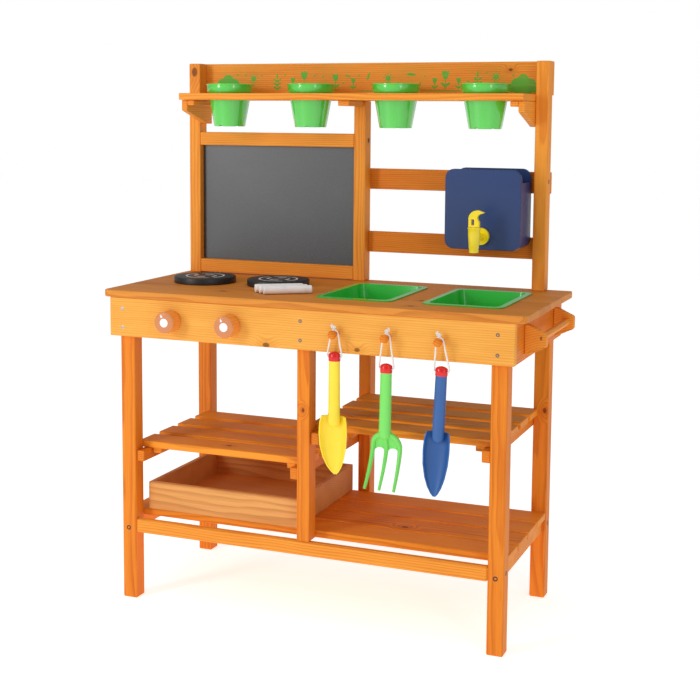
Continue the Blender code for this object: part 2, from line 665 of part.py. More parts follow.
# ---------------------------------------------------------------- water tank and tap
def make_tank():
    """An open tank whose back carries a hook over the upper back rail."""
    middle_z = TANK_BOTTOM + TANK_HEIGHT / 2
    middle_y = TANK_FRONT + TANK_DEPTH / 2
    shell = outline("water_tank", rounded_rectangle(TANK_WIDTH, TANK_HEIGHT, TANK_CORNER, 5),
                    TANK_DEPTH, upright_plane(TANK_CENTRE_X, middle_y, middle_z), TANK_BLUE, 1.5 * MM)
    inner_height = TANK_HEIGHT + 4 * TANK_CORNER
    hollow = outline("tank_hollow",
                     rounded_rectangle(TANK_WIDTH - 2 * TANK_WALL, inner_height, TANK_CORNER - TANK_WALL, 5),
                     TANK_DEPTH - 2 * TANK_WALL,
                     upright_plane(TANK_CENTRE_X, middle_y, TANK_BOTTOM + TANK_WALL + inner_height / 2))
    combine(shell, hollow)
    dip = boards("tank_rim_dip", None,
                 [((TANK_CENTRE_X - TANK_WIDTH, TANK_FRONT + 3 * TANK_WALL, TANK_TOP - TANK_RIM_DIP),
                   (TANK_CENTRE_X + TANK_WIDTH, TANK_BACK - 2 * TANK_WALL, TANK_TOP + TANK_RIM_DIP))],
                 0.0, True)
    combine(shell, dip)
    reach = UPRIGHT_BACK + 2 * GAP + THIN_BOARD - TANK_BACK + GAP
    rail_top = UPPER_BACK_RAIL_TOP + GAP
    hook = [(-TANK_WALL / 2, 0.0), (reach, 0.0), (reach, -TANK_HOOK_DROP),
            (reach + TANK_HOOK, -TANK_HOOK_DROP), (reach + TANK_HOOK, TANK_HOOK),
            (-TANK_WALL / 2, TANK_HOOK)]
    combine(shell, outline("tank_hook", hook, TANK_HOOK_WIDTH,
                           side_plane(TANK_CENTRE_X, TANK_BACK, rail_top)), 'UNION')
    tap_hole = cylinder("tap_hole", TAP_SHANK_RADIUS + SHAFT_CLEARANCE,
                        (TAP_X, TANK_FRONT - BOARD, TAP_Z),
                        (TAP_X, TANK_FRONT + BOARD, TAP_Z), 'Y', 24)
    combine(shell, tap_hole)


def make_tap():
    """A barrel with a shank through the tank's wall, and the lever that turns in its top."""
    top = TAP_BARREL_TOP - TAP_Z
    bottom = TAP_BARREL_BOTTOM - TAP_Z
    stem = TAP_STEM_RADIUS + SHAFT_CLEARANCE
    stem_floor = top - 10 * MM
    barrel = [(TAP_BARREL_RADIUS, top), (TAP_BARREL_RADIUS, top - 2.5 * MM),
              (TAP_BARREL_RADIUS - 0.6 * MM, top - 3.5 * MM), (TAP_BARREL_RADIUS - 0.9 * MM, top - 15 * MM),
              (TAP_SPOUT_RADIUS + 0.6 * MM, bottom + 9 * MM), (TAP_SPOUT_RADIUS, bottom + 7 * MM),
              (TAP_SPOUT_RADIUS, bottom), (0.0, bottom),
              (0.0, stem_floor), (stem, stem_floor), (stem, top), (TAP_BARREL_RADIUS, top)]
    body = turned("tap_body", barrel, TAP_YELLOW, 32)
    body.location = (TAP_X, TAP_AXIS_Y, TAP_Z)
    flange_back = TANK_FRONT - GAP
    shank = cylinder("tap_shank", TAP_SHANK_RADIUS, (TAP_X, TAP_AXIS_Y + TAP_BARREL_RADIUS / 2, TAP_Z),
                     (TAP_X, TANK_FRONT + TANK_WALL + 9 * MM, TAP_Z), 'Y', 24)
    flange = cylinder("tap_flange", TAP_FLANGE_RADIUS, (TAP_X, flange_back - 7 * MM, TAP_Z),
                      (TAP_X, flange_back, TAP_Z), 'Y', 32)
    combine(body, shank, 'UNION')
    combine(body, flange, 'UNION')

    side = TAP_BARREL_RADIUS - 2 * MM
    shape = [(-side, 0.0), (-side, 16 * MM)]
    shape += arc((7 * MM, 15 * MM), 18 * MM, 175, 82, 6)
    shape += [(21 * MM, 28.5 * MM), (15 * MM, 26 * MM)]
    shape += arc((15 * MM, 18 * MM), 8 * MM, 110, 190, 4)
    shape += [(side, 10 * MM), (side, 0.0)]
    lever = outline("tap_lever", shape, LEVER_THICKNESS,
                    upright_plane(TAP_X, TAP_AXIS_Y, TAP_BARREL_TOP + GAP), TAP_YELLOW, 1 * MM)
    slot = outline("lever_slot", rounded_rectangle(6 * MM, 12 * MM, 2 * MM, 2), 2 * LEVER_THICKNESS,
                   upright_plane(TAP_X - 2 * MM, TAP_AXIS_Y, TAP_BARREL_TOP + 10 * MM))
    stem_bar = cylinder("lever_stem", TAP_STEM_RADIUS,
                        (TAP_X, TAP_AXIS_Y, TAP_BARREL_TOP - 9 * MM),
                        (TAP_X, TAP_AXIS_Y, TAP_BARREL_TOP + 2.5 * MM), 'Z', 16)
    combine(lever, slot)
    combine(lever, stem_bar, 'UNION')


# ---------------------------------------------------------------- worktop fittings
def make_sinks():
    """Tapered basins that hang in the worktop by a flat lip."""
    basin_x = SINK_RIM_X - 2 * SINK_LIP
    basin_y = SINK_RIM_Y - 2 * SINK_LIP
    floor_x = basin_x - 2 * SINK_TAPER
    floor_y = basin_y - 2 * SINK_TAPER

    def build(form):
        made = block(form, (-basin_x / 2, -basin_y / 2, -SINK_DEPTH), (basin_x / 2, basin_y / 2, 0.0))
        bottom = [vert for vert in made if vert.co.z < -SINK_DEPTH / 2]
        bmesh.ops.scale(form, vec=(floor_x / basin_x, floor_y / basin_y, 1.0), verts=bottom)
        walls = [edge for edge in form.edges
                 if abs(edge.verts[0].co.z - edge.verts[1].co.z) > SINK_DEPTH / 2]
        bmesh.ops.bevel(form, geom=walls, offset=SINK_CORNER, segments=4, profile=0.5, affect='EDGES')
        top = [face for face in form.faces if all(vert.co.z > -MM for vert in face.verts)]
        bmesh.ops.delete(form, geom=top, context='FACES_ONLY')
        rim = [edge for edge in form.edges if edge.is_boundary]
        lip = bmesh.ops.extrude_edge_only(form, edges=rim)
        outer = [item for item in lip["geom"] if isinstance(item, bmesh.types.BMVert)]
        bmesh.ops.scale(form, vec=(SINK_RIM_X / basin_x, SINK_RIM_Y / basin_y, 1.0), verts=outer)

    for side, x in zip(("left", "right"), SINK_CENTRES_X):
        sink = add_object(f"sink_{side}", solid_mesh(f"sink_{side}", build), SINK_GREEN)
        sink.location = (x, SINK_CENTRE_Y, WORKTOP_HEIGHT + GAP)
        wall = sink.modifiers.new("wall", 'SOLIDIFY')
        wall.thickness = SINK_WALL
        wall.offset = -1.0
        wall.use_even_offset = True


def make_hobs():
    edge = 1.5 * MM
    profile = [(0.0, HOB_THICKNESS), (HOB_RADIUS - edge, HOB_THICKNESS), (HOB_RADIUS, HOB_THICKNESS - edge),
               (HOB_RADIUS, 0.0), (0.0, 0.0)]
    for side, (x, y) in zip(("left", "right"), HOB_CENTRES):
        hob = turned(f"hob_plate_{side}", profile, HOB_BLACK, 64)
        hob.location = (x, y, WORKTOP_HEIGHT + GAP)


def make_chalk():
    """A wrapped row of chalk sticks, lying on the worktop."""
    pitch = 2 * CHALK_RADIUS - 2 * EMBED
    half = CHALK_LENGTH / 2
    turn = Matrix.Rotation(math.radians(CHALK_TURN), 4, 'Z')
    centre = Vector((*CHALK_CENTRE, WORKTOP_HEIGHT + GAP + CHALK_RADIUS))
    sticks = []
    for i in range(CHALK_STICKS):
        offset = (i - (CHALK_STICKS - 1) / 2) * pitch
        name = "chalk_pack" if i == 0 else f"chalk_stick_{i}"
        material = CHALK_WHITE if i == 0 else None
        stick = cylinder(name, CHALK_RADIUS, (-half, 0.0, 0.0), (half, 0.0, 0.0), 'X', 16, material)
        place = Matrix.Translation(centre) @ turn @ Matrix.Translation((-i * CHALK_STAGGER, offset, 0.0))
        stick.matrix_local = place
        sticks.append(stick)
    for other in sticks[1:]:
        combine(sticks[0], other, 'UNION')


# ---------------------------------------------------------------- knobs, pegs, towel rail
def facing_front(x, y, z):
    """Lays a turned shape down so that its top faces the front."""
    return Matrix.Translation((x, y, z)) @ Matrix.Rotation(math.pi / 2, 4, 'X')


def make_knobs():
    edge = 3 * MM
    tail = KNOB_STANDOFF + BOARD - 2 * GAP
    profile = [(0.0, KNOB_LENGTH)]
    profile += [(KNOB_RADIUS - edge + r, KNOB_LENGTH - edge + h)
                for r, h in arc((0.0, 0.0), edge, 90, 0, 4)]
    profile += [(KNOB_RADIUS, 1.5 * MM), (KNOB_RADIUS - 1.5 * MM, 0.0), (SHAFT_RADIUS, 0.0),
                (SHAFT_RADIUS, -tail), (0.0, -tail)]
    for side, x in zip(("left", "right"), KNOB_XS):
        knob = turned(f"knob_{side}", profile, FRAME_WOOD, 40)
        knob.matrix_local = facing_front(x, APRON_FACE - KNOB_STANDOFF, FITTING_Z)


def make_pegs():
    """Dowels with a ball head, glued into blind holes."""
    neck = math.degrees(math.asin(SHAFT_RADIUS / PEG_BALL_RADIUS))
    profile = arc((0.0, PEG_PROJECTION), PEG_BALL_RADIUS, 90, -90 + neck, 9)
    profile[0] = (0.0, profile[0][1])
    profile += [(SHAFT_RADIUS, -PEG_DEPTH), (0.0, -PEG_DEPTH)]
    for number, x in enumerate(PEG_XS, start=1):
        peg = turned(f"peg_{number}", profile, FRAME_WOOD, 24)
        peg.matrix_local = facing_front(x, APRON_FACE, FITTING_Z)


def make_towel_rail():
    """Two shaped brackets on the right apron and the bar between them, glued up as one."""
    base_x = FRAME_LENGTH + 2 * GAP + BOARD
    half_base = TOWEL_BASE_HEIGHT / 2
    half_nose = TOWEL_NOSE_HEIGHT / 2
    nose = 5 * MM
    shape = [(0.0, -half_base), (7 * MM, -half_base)]
    shape += [(TOWEL_REACH - nose + x, -half_nose + nose + y) for x, y in arc((0, 0), nose, -60, 0, 3)]
    shape += [(TOWEL_REACH - nose + x, half_nose - nose + y) for x, y in arc((0, 0), nose, 0, 60, 3)]
    shape += [(7 * MM, half_base), (0.0, half_base)]
    plates = []
    for name, y in (("towel_rail", TOWEL_FRONT_Y), ("towel_rear_bracket", TOWEL_BACK_Y)):
        material = FRAME_WOOD if name == "towel_rail" else None
        place = upright_plane(base_x, y + TOWEL_BRACKET / 2, FITTING_Z + 1 * MM)
        plates.append(outline(name, shape, TOWEL_BRACKET, place, material, EDGE))
    bar_x = base_x + TOWEL_REACH - 2 * TOWEL_BAR_RADIUS
    bar_z = FITTING_Z + 3 * MM
    bar = cylinder("towel_bar", TOWEL_BAR_RADIUS, (bar_x, TOWEL_FRONT_Y + TOWEL_BRACKET / 2, bar_z),
                   (bar_x, TOWEL_BACK_Y + TOWEL_BRACKET / 2, bar_z), 'Y', 20)
    combine(plates[0], plates[1], 'UNION')
    combine(plates[0], bar, 'UNION')


# ---------------------------------------------------------------- tray
def make_tray():
    """An open box that slides out to the front between the left leg and the middle post."""
    left = LEG + TRAY_SIDE_PLAY
    right = MIDDLE_POST_X - TRAY_SIDE_PLAY + 2 * MM
    low = (left, TRAY_SETBACK, DECK_TOP + GAP)
    high = (right, TRAY_SETBACK + TRAY_DEPTH, DECK_TOP + GAP + TRAY_HEIGHT)
    tray = board("tray", TRAY_WOOD, low, high)
    inside = boards("tray_inside", None,
                    [((left + TRAY_WALL, low[1] + TRAY_WALL, low[2] + TRAY_FLOOR),
                      (right - TRAY_WALL, high[1] - TRAY_WALL, high[2] + TRAY_HEIGHT))], 0.0, True)
    combine(tray, inside)


# ---------------------------------------------------------------- hand tools and strings
def make_handle(name, x, cap_top, material):
    """An oval handle with a domed cap, a cross hole in the cap, and a round lower end."""
    round_end = HANDLE_WIDTH / 2
    dome = 5 * MM
    radius = HANDLE_WIDTH / 2
    profile = [(0.0, 0.0), (radius * 0.5, -1.2 * MM), (radius * 0.85, -3.2 * MM), (radius, -dome),
               (radius, -CAP_HEIGHT), (radius - 0.8 * MM, -CAP_HEIGHT - 0.8 * MM),
               (radius, -CAP_HEIGHT - HANDLE_LENGTH + round_end)]
    profile += [(r, -CAP_HEIGHT - HANDLE_LENGTH + round_end + h)
                for r, h in arc((0.0, 0.0), round_end, -22, -90, 4)]
    profile[-1] = (0.0, profile[-1][1])
    handle = turned(name, profile, material, 24)
    handle.location = (x, TOOL_Y, cap_top)
    handle.scale = (1.0, HANDLE_DEPTH / HANDLE_WIDTH, 1.0)
    hole = cylinder(name + "_cord_hole", CAP_HOLE_RADIUS,
                    (x - HANDLE_WIDTH, TOOL_Y, cap_top - CAP_HOLE_DROP),
                    (x + HANDLE_WIDTH, TOOL_Y, cap_top - CAP_HOLE_DROP), 'X', 12)
    combine(handle, hole)
    return handle


def blade_half_width(share):
    """Share of the full half width of a trowel, from its top (0) to its point (1)."""
    stations = ((0.0, 0.86), (0.1, 0.96), (0.28, 1.0), (0.5, 0.94), (0.7, 0.76), (0.85, 0.52),
                (0.95, 0.26), (1.0, 0.05))
    for (low, first), (high, second) in zip(stations, stations[1:]):
        if share <= high:
            return first + (second - first) * (share - low) / (high - low)
    return stations[-1][1]


def make_trowel(name, x, cap_top, material, width, length, curve):
    """A scoop blade, hollow towards the front, under a handle."""
    handle = make_handle(name, x, cap_top, material)
    blade_top = cap_top - CAP_HEIGHT - HANDLE_LENGTH + BLADE_LAP
    spine_y = TOOL_Y + HANDLE_DEPTH / 2 + 0.4 * MM

    def build(form):
        bmesh.ops.create_grid(form, x_segments=12, y_segments=20, size=1.0)
        for vert in form.verts:
            along = (1 - vert.co.y) / 2
            share = blade_half_width(along)
            swing = vert.co.x * math.pi / 2
            hollow = BLADE_HOLLOW * share ** 1.3
            vert.co = (width / 2 * share * math.sin(swing),
                       -hollow * (1 - math.cos(swing)) - curve * along ** 2,
                       -length * along)

    blade = add_object(name + "_blade", solid_mesh(name + "_blade", build), None, True)
    blade.location = (x, spine_y, blade_top)
    wall = blade.modifiers.new("wall", 'SOLIDIFY')
    wall.thickness = BLADE_WALL
    wall.offset = 0.0
    combine(handle, blade, 'UNION')


def make_fork(name, x, cap_top, material):
    """Three curved tines from a shoulder under a handle."""
    handle = make_handle(name, x, cap_top, material)
    neck = cap_top - CAP_HEIGHT - HANDLE_LENGTH
    crown = neck + 9 * MM
    tip = neck - TINE_LENGTH

    def set_forward(height):
        """How far the head stands from the handle's axis at a height, front negative."""
        drop = min(1.0, max(0.0, (crown - height) / SHOULDER_DROP))
        fall = min(1.0, max(0.0, (crown - SHOULDER_DROP - height) / (crown - SHOULDER_DROP - tip)))
        return 2 * MM + (SHOULDER_SETBACK - 2 * MM) * drop - TINE_CURVE * fall ** 1.5

    for number, side in enumerate((-1, 0, 1), start=1):
        points = []
        start = crown + (1.3 + 0.7 * side) * MM
        for i in range(6):
            swing = math.pi / 2 * i / 5
            height = start - SHOULDER_DROP * (1 - math.cos(swing))
            out = side * (3 * MM + (TINE_SPREAD - 3 * MM) * math.sin(swing))
            points.append((x + out, TOOL_Y + set_forward(height) + 0.2 * MM * side, height, 1.0))
        top = points[-1][2]
        for i in range(1, 10):
            share = i / 9
            height = top + (tip - top) * share
            points.append((x + side * (TINE_SPREAD + TINE_SPLAY * share),
                           TOOL_Y + set_forward(height) + 0.2 * MM * side, height,
                           1.0 - (1.0 - TINE_TAPER) * share))
        combine(handle, tube(f"{name}_tine_{number}", points, TINE_RADIUS), 'UNION')

    def build(form):
        bmesh.ops.create_grid(form, x_segments=12, y_segments=6, size=1.0)
        for vert in form.verts:
            across = vert.co.x
            along = (1 - vert.co.y) / 2
            high = -SHOULDER_DROP * (1 - math.sqrt(max(0.0, 1 - 0.98 * across ** 2))) + 1 * MM
            low = -27 * MM - 9 * MM * abs(2 * abs(across) - 1) ** 2.2
            height = high + (low - high) * along
            forward = set_forward(crown + height) + 1.6 * MM
            vert.co = (TINE_SPREAD * across, forward, height)

    web = add_object(name + "_web", solid_mesh(name + "_web", build), None, True)
    web.location = (x, TOOL_Y, crown)
    wall = web.modifiers.new("wall", 'SOLIDIFY')
    wall.thickness = 3 * MM
    wall.offset = 0.0
    combine(handle, web, 'UNION')


def smooth_route(way_points, steps):
    """Points read from a smooth curve that passes through every way point."""
    ends = [2 * way_points[0] - way_points[1]] + way_points + [2 * way_points[-1] - way_points[-2]]
    route = []
    for before, first, second, after in zip(ends, ends[1:], ends[2:], ends[3:]):
        for i in range(steps):
            t = i / steps
            route.append(0.5 * (2 * first + (second - before) * t
                                + (2 * before - 5 * first + 4 * second - after) * t ** 2
                                + (3 * first - before - 3 * second + after) * t ** 3))
    return route + [way_points[-1]]


def make_string(number, peg_x, cap_x, cap_top):
    """A cord out of one side of the cap, over the peg and back in at the other side."""
    over = SHAFT_RADIUS + CORD_RADIUS + CORD_CLEARANCE
    hole_z = cap_top - CAP_HOLE_DROP
    side = HANDLE_WIDTH / 2

    def strand(hand):
        """Half of the cord, from the hole up to the side of the peg; hand is 1 on the right."""
        half = [Vector((cap_x + hand * (side + out), TOOL_Y, hole_z + up))
                for out, up in ((-0.7 * MM, -0.7 * MM), (0.9 * MM, 0.9 * MM), (2.7 * MM, 5.4 * MM))]
        peg = [Vector((peg_x + hand * over * math.cos(a), TOOL_Y, FITTING_Z + over * math.sin(a)))
               for a in (0.26, 0.91)]
        return half + [half[-1].lerp(peg[0], 0.5)] + peg

    top = [Vector((peg_x, TOOL_Y, FITTING_Z + over))]
    route = smooth_route(strand(1) + top + list(reversed(strand(-1))), CORD_STEPS)
    tube(f"string_{number}", route, CORD_RADIUS, STRING_WHITE)


def hang_tool(name, number, peg_x, cap_top, shift, lean):
    """Lean a tool, and give it and its string a pivot on the peg's axis."""
    turn = (Matrix.Translation((peg_x + shift, TOOL_Y, cap_top)) @ Matrix.Rotation(math.radians(lean), 4, 'Y')
            @ Matrix.Translation((-peg_x, -TOOL_Y, -cap_top)))
    for piece in list(parts.objects) + list(cutters.objects):
        if piece.name.startswith(name):
            piece.matrix_local = turn @ piece.matrix_local
    make_string(number, peg_x, peg_x + shift, cap_top)
    pivot = bpy.data.objects.new(f"tool_pivot_{number}", None)
    parts.objects.link(pivot)
    pivot.parent = bench
    pivot.location = (peg_x, TOOL_Y, FITTING_Z)
    for piece in (bpy.data.objects[name], bpy.data.objects[f"string_{number}"]):
        place = piece.matrix_local.copy()
        piece.parent = pivot
        piece.matrix_local = Matrix.Translation((-peg_x, -TOOL_Y, -FITTING_Z)) @ place


def make_tools():
    xs = PEG_XS
    tops = TOOL_CAP_TOPS
    make_trowel("trowel_yellow", xs[0], tops[0], TOOL_YELLOW, BLADE_WIDTHS[0], BLADE_LENGTHS[0],
                BLADE_CURVES[0])
    make_fork("fork_green", xs[1], tops[1], TOOL_GREEN)
    make_trowel("trowel_blue", xs[2], tops[2], TOOL_BLUE, BLADE_WIDTHS[1], BLADE_LENGTHS[1],
                BLADE_CURVES[1])
    for i, name in enumerate(("trowel_yellow", "fork_green", "trowel_blue")):
        hang_tool(name, i + 1, xs[i], tops[i], TOOL_SHIFTS[i], TOOL_LEANS[i])


# ---------------------------------------------------------------- assembly
def stand_over_origin():
    """Move the bench so that the middle of its box, seen from above, is the origin."""
    bpy.context.view_layer.update()
    graph = bpy.context.evaluated_depsgraph_get()
    low = [math.inf, math.inf]
    high = [-math.inf, -math.inf]
    for piece in parts.objects:
        if piece.type != 'MESH' or piece.name.startswith("string"):
            continue
        shape = piece.evaluated_get(graph)
        for vert in shape.data.vertices:
            place = piece.matrix_world @ vert.co
            for axis in (0, 1):
                low[axis] = min(low[axis], place[axis])
                high[axis] = max(high[axis], place[axis])
    bench.location = (-(low[0] + high[0]) / 2, -(low[1] + high[1]) / 2, 0.0)


def shade_round_pieces():
    for piece in parts.objects:
        if piece.type == 'MESH' and len(piece.data.polygons) > 0:
            piece.data.shade_smooth()
            piece.data.set_sharp_from_angle(angle=math.radians(35))


make_legs()
make_aprons()
make_lower_rails()
make_bottom_shelf()
make_upper_shelf("left", LEG, MIDDLE_POST_X, LEFT_SHELF_Z)
make_upper_shelf("right", MIDDLE_POST_X + POST_WIDTH, RIGHT_LEG_X, RIGHT_SHELF_Z)
make_tray()
make_worktop()
make_uprights()
make_back_rails()
make_chalkboard()
make_pot_shelf()
make_pot_brackets()
make_pots()
make_tank()
make_tap()
make_sinks()
make_hobs()
make_chalk()
make_knobs()
make_pegs()
make_towel_rail()
make_tools()
shade_round_pieces()
stand_over_origin()
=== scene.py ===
"""Play potting bench: finishes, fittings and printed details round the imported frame."""

import itertools
import math
import random

import bpy
from mathutils import Matrix, Vector


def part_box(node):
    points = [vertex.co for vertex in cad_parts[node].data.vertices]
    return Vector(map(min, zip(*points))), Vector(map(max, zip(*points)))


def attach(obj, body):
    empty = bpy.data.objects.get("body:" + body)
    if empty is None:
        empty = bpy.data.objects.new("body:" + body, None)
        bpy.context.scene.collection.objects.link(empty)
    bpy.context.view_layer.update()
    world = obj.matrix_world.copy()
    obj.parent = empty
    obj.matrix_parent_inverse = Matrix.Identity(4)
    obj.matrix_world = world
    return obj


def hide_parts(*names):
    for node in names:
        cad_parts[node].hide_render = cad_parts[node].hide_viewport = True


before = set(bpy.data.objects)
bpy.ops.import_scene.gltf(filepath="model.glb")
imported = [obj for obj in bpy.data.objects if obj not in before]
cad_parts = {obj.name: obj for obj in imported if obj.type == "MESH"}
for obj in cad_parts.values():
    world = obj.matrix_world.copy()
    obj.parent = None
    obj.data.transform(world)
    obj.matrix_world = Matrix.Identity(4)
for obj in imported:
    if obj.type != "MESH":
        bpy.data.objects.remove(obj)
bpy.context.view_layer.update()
bpy.ops.object.select_all(action="DESELECT")
scene = bpy.context.scene
scene.view_settings.view_transform = "Standard"

MM = 0.001
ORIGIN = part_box("leg_front_left")[0]       # the bench's own corner: left, front, floor
ON_BENCH = "bench"

# Places and sizes on the bench, in millimetres; places are from that corner.
POST_FACE = 322.3                          # front of the uprights
APRON_FACE = -14.3
WORKTOP = 628.0
FITTING_Z = 574.5
PEG_XS = (470.0, 571.0, 672.0)
KNOB_XS = (123.0, 251.0)
TOOL_Y = -26.3
CAP_TOPS = (542.0, 528.0, 531.0)
CAP_SHIFTS = (0.0, 0.5, 4.5)
LEANS = (0.0, 0.7, 2.3)
TOOLS = ("trowel_yellow", "fork_green", "trowel_blue")
TOOL_BODIES = ("yellow_trowel", "green_fork", "blue_trowel")
SIDES = ("left", "right")
STRING_RADIUS = 1.6
SEAT_GAP = 0.3                             # between a loose piece and what it rests on


def at(x, y, z):
    """A place on the bench, given in millimetres, in the shared frame."""
    return ORIGIN + Vector((x, y, z)) * MM


def srgb(red, green, blue):
    """A paint colour given as 0 to 255, in linear light."""
    return tuple((c / 255 / 12.92) if c <= 10 else ((c / 255 + 0.055) / 1.055) ** 2.4
                 for c in (red, green, blue))


def deeper(colour, share):
    """The same colour with only this share of its light."""
    return tuple(c * share for c in colour)


# ---------------------------------------------------------------- camera
def set_camera():
    """The view from the front right, a little above the worktop; angles in radians."""
    turn, dip, roll = 0.3791, 0.110, 0.0076
    stand_point = at(1373.6, -2220.6, 970.2)
    focal, centre_x, centre_y, side = 1311.59, 350.1, 261.6, 700
    forward = Vector((-math.sin(turn) * math.cos(dip), math.cos(turn) * math.cos(dip), -math.sin(dip)))
    level = Vector((math.cos(turn), math.sin(turn), 0.0))
    upright = level.cross(forward)
    right = math.cos(roll) * level + math.sin(roll) * upright
    up = math.cos(roll) * upright - math.sin(roll) * level
    data = bpy.data.cameras.new("camera")
    camera = bpy.data.objects.new("camera", data)
    scene.collection.objects.link(camera)
    camera.matrix_world = (Matrix.Translation(stand_point)
                           @ Matrix((right, up, -forward)).transposed().to_4x4())
    data.sensor_width = 36.0
    data.lens = focal * data.sensor_width / side
    data.shift_x = (side / 2 - centre_x) / side
    data.shift_y = (centre_y - side / 2) / side
    data.clip_start = 0.05
    scene.camera = camera


set_camera()


# ---------------------------------------------------------------- shader maths
class Socket:
    """A shader value; arithmetic on it adds Math nodes."""

    def __init__(self, shader, link):
        self.shader, self.link = shader, link

    def __getitem__(self, name):
        return Socket(self.shader, self.link.node.outputs[name])

    def __add__(self, other):
        return self.shader.math("ADD", self, other)

    def __sub__(self, other):
        return self.shader.math("SUBTRACT", self, other)

    def __rsub__(self, other):
        return self.shader.math("SUBTRACT", other, self)

    def __mul__(self, other):
        return self.shader.math("MULTIPLY", self, other)

    def __truediv__(self, other):
        return self.shader.math("DIVIDE", self, other)

    __radd__ = __add__
    __rmul__ = __mul__


class Shader:
    """One material, built node by node."""

    def __init__(self, name):
        self.material = bpy.data.materials.new(name)
        self.material.use_nodes = True
        self.nodes = self.material.node_tree.nodes
        self.nodes.clear()

    def node(self, kind, settings=None, inputs=None, out=0):
        """Add a node: its settings first, then the values or links of its sockets."""
        made = self.nodes.new(kind)
        for key, value in (settings or {}).items():
            if key == "stops":
                ramp = made.color_ramp.elements
                while len(ramp) < len(value):
                    ramp.new(1.0)
                for stop, (position, colour) in zip(ramp, value):
                    stop.position, stop.color = position, (*colour, 1.0)
            else:
                setattr(made, key, value)
        for key, value in (inputs or {}).items():
            socket = next(s for i, s in enumerate(made.inputs) if key in (i, s.identifier, s.name))
            if isinstance(value, Socket):
                self.material.node_tree.links.new(value.link, socket)
            elif socket.type == "RGBA" and len(value) == 3:
                socket.default_value = (*value, 1.0)
            else:
                socket.default_value = value
        if not made.outputs:
            return None
        return Socket(self, next(s for i, s in enumerate(made.outputs) if out in (i, s.identifier, s.name)))

    def math(self, operation, *values):
        return self.node("ShaderNodeMath", {"operation": operation}, dict(enumerate(values)))

    def square(self, value):
        return self.math("POWER", value, 2)

    def most(self, first, second):
        return self.math("MAXIMUM", first, second)

    def step(self, value, low, high):
        """0 below low, 1 above high, smooth between them."""
        return self.node("ShaderNodeMapRange", {"interpolation_type": "SMOOTHSTEP"},
                         {"Value": value, "From Min": low, "From Max": high})

    def band(self, value, middle, half, soft):
        return self.step(self.math("ABSOLUTE", value - middle), half + soft, half)

    def place(self):
        """The three Object coordinates, in metres."""
        here = self.node("ShaderNodeTexCoord", out="Object")
        parts = self.node("ShaderNodeSeparateXYZ", inputs={0: here})
        return parts["X"], parts["Y"], parts["Z"]

    def vector(self, x, y, z):
        return self.node("ShaderNodeCombineXYZ", inputs={0: x, 1: y, 2: z})

    def noise(self, vector, scale=1.0, detail=2.0, roughness=0.5):
        return self.node("ShaderNodeTexNoise", inputs={"Vector": vector, "Scale": scale, "Detail": detail,
                                                       "Roughness": roughness})

    def mix(self, factor, first, second):
        return self.node("ShaderNodeMix", {"data_type": "RGBA"},
                         {"Factor_Float": factor, "A_Color": first, "B_Color": second}, "Result_Color")

    def bump(self, height, depth, strength=1.0):
        return self.node("ShaderNodeBump", inputs={"Height": height, "Distance": depth, "Strength": strength})

    def finish(self, **inputs):
        """Close the material; underscores in the names stand for spaces."""
        values = {key.replace("_", " "): value for key, value in inputs.items()}
        surface = self.node("ShaderNodeBsdfPrincipled", inputs=values)
        self.node("ShaderNodeOutputMaterial", inputs={"Surface": surface})
        return self.material


# ---------------------------------------------------------------- finishes
RINGS_PER_METRE = 235
FIBRES_PER_METRE = 420
KNOT_STRETCH = 1.5                         # knots are longer along the grain


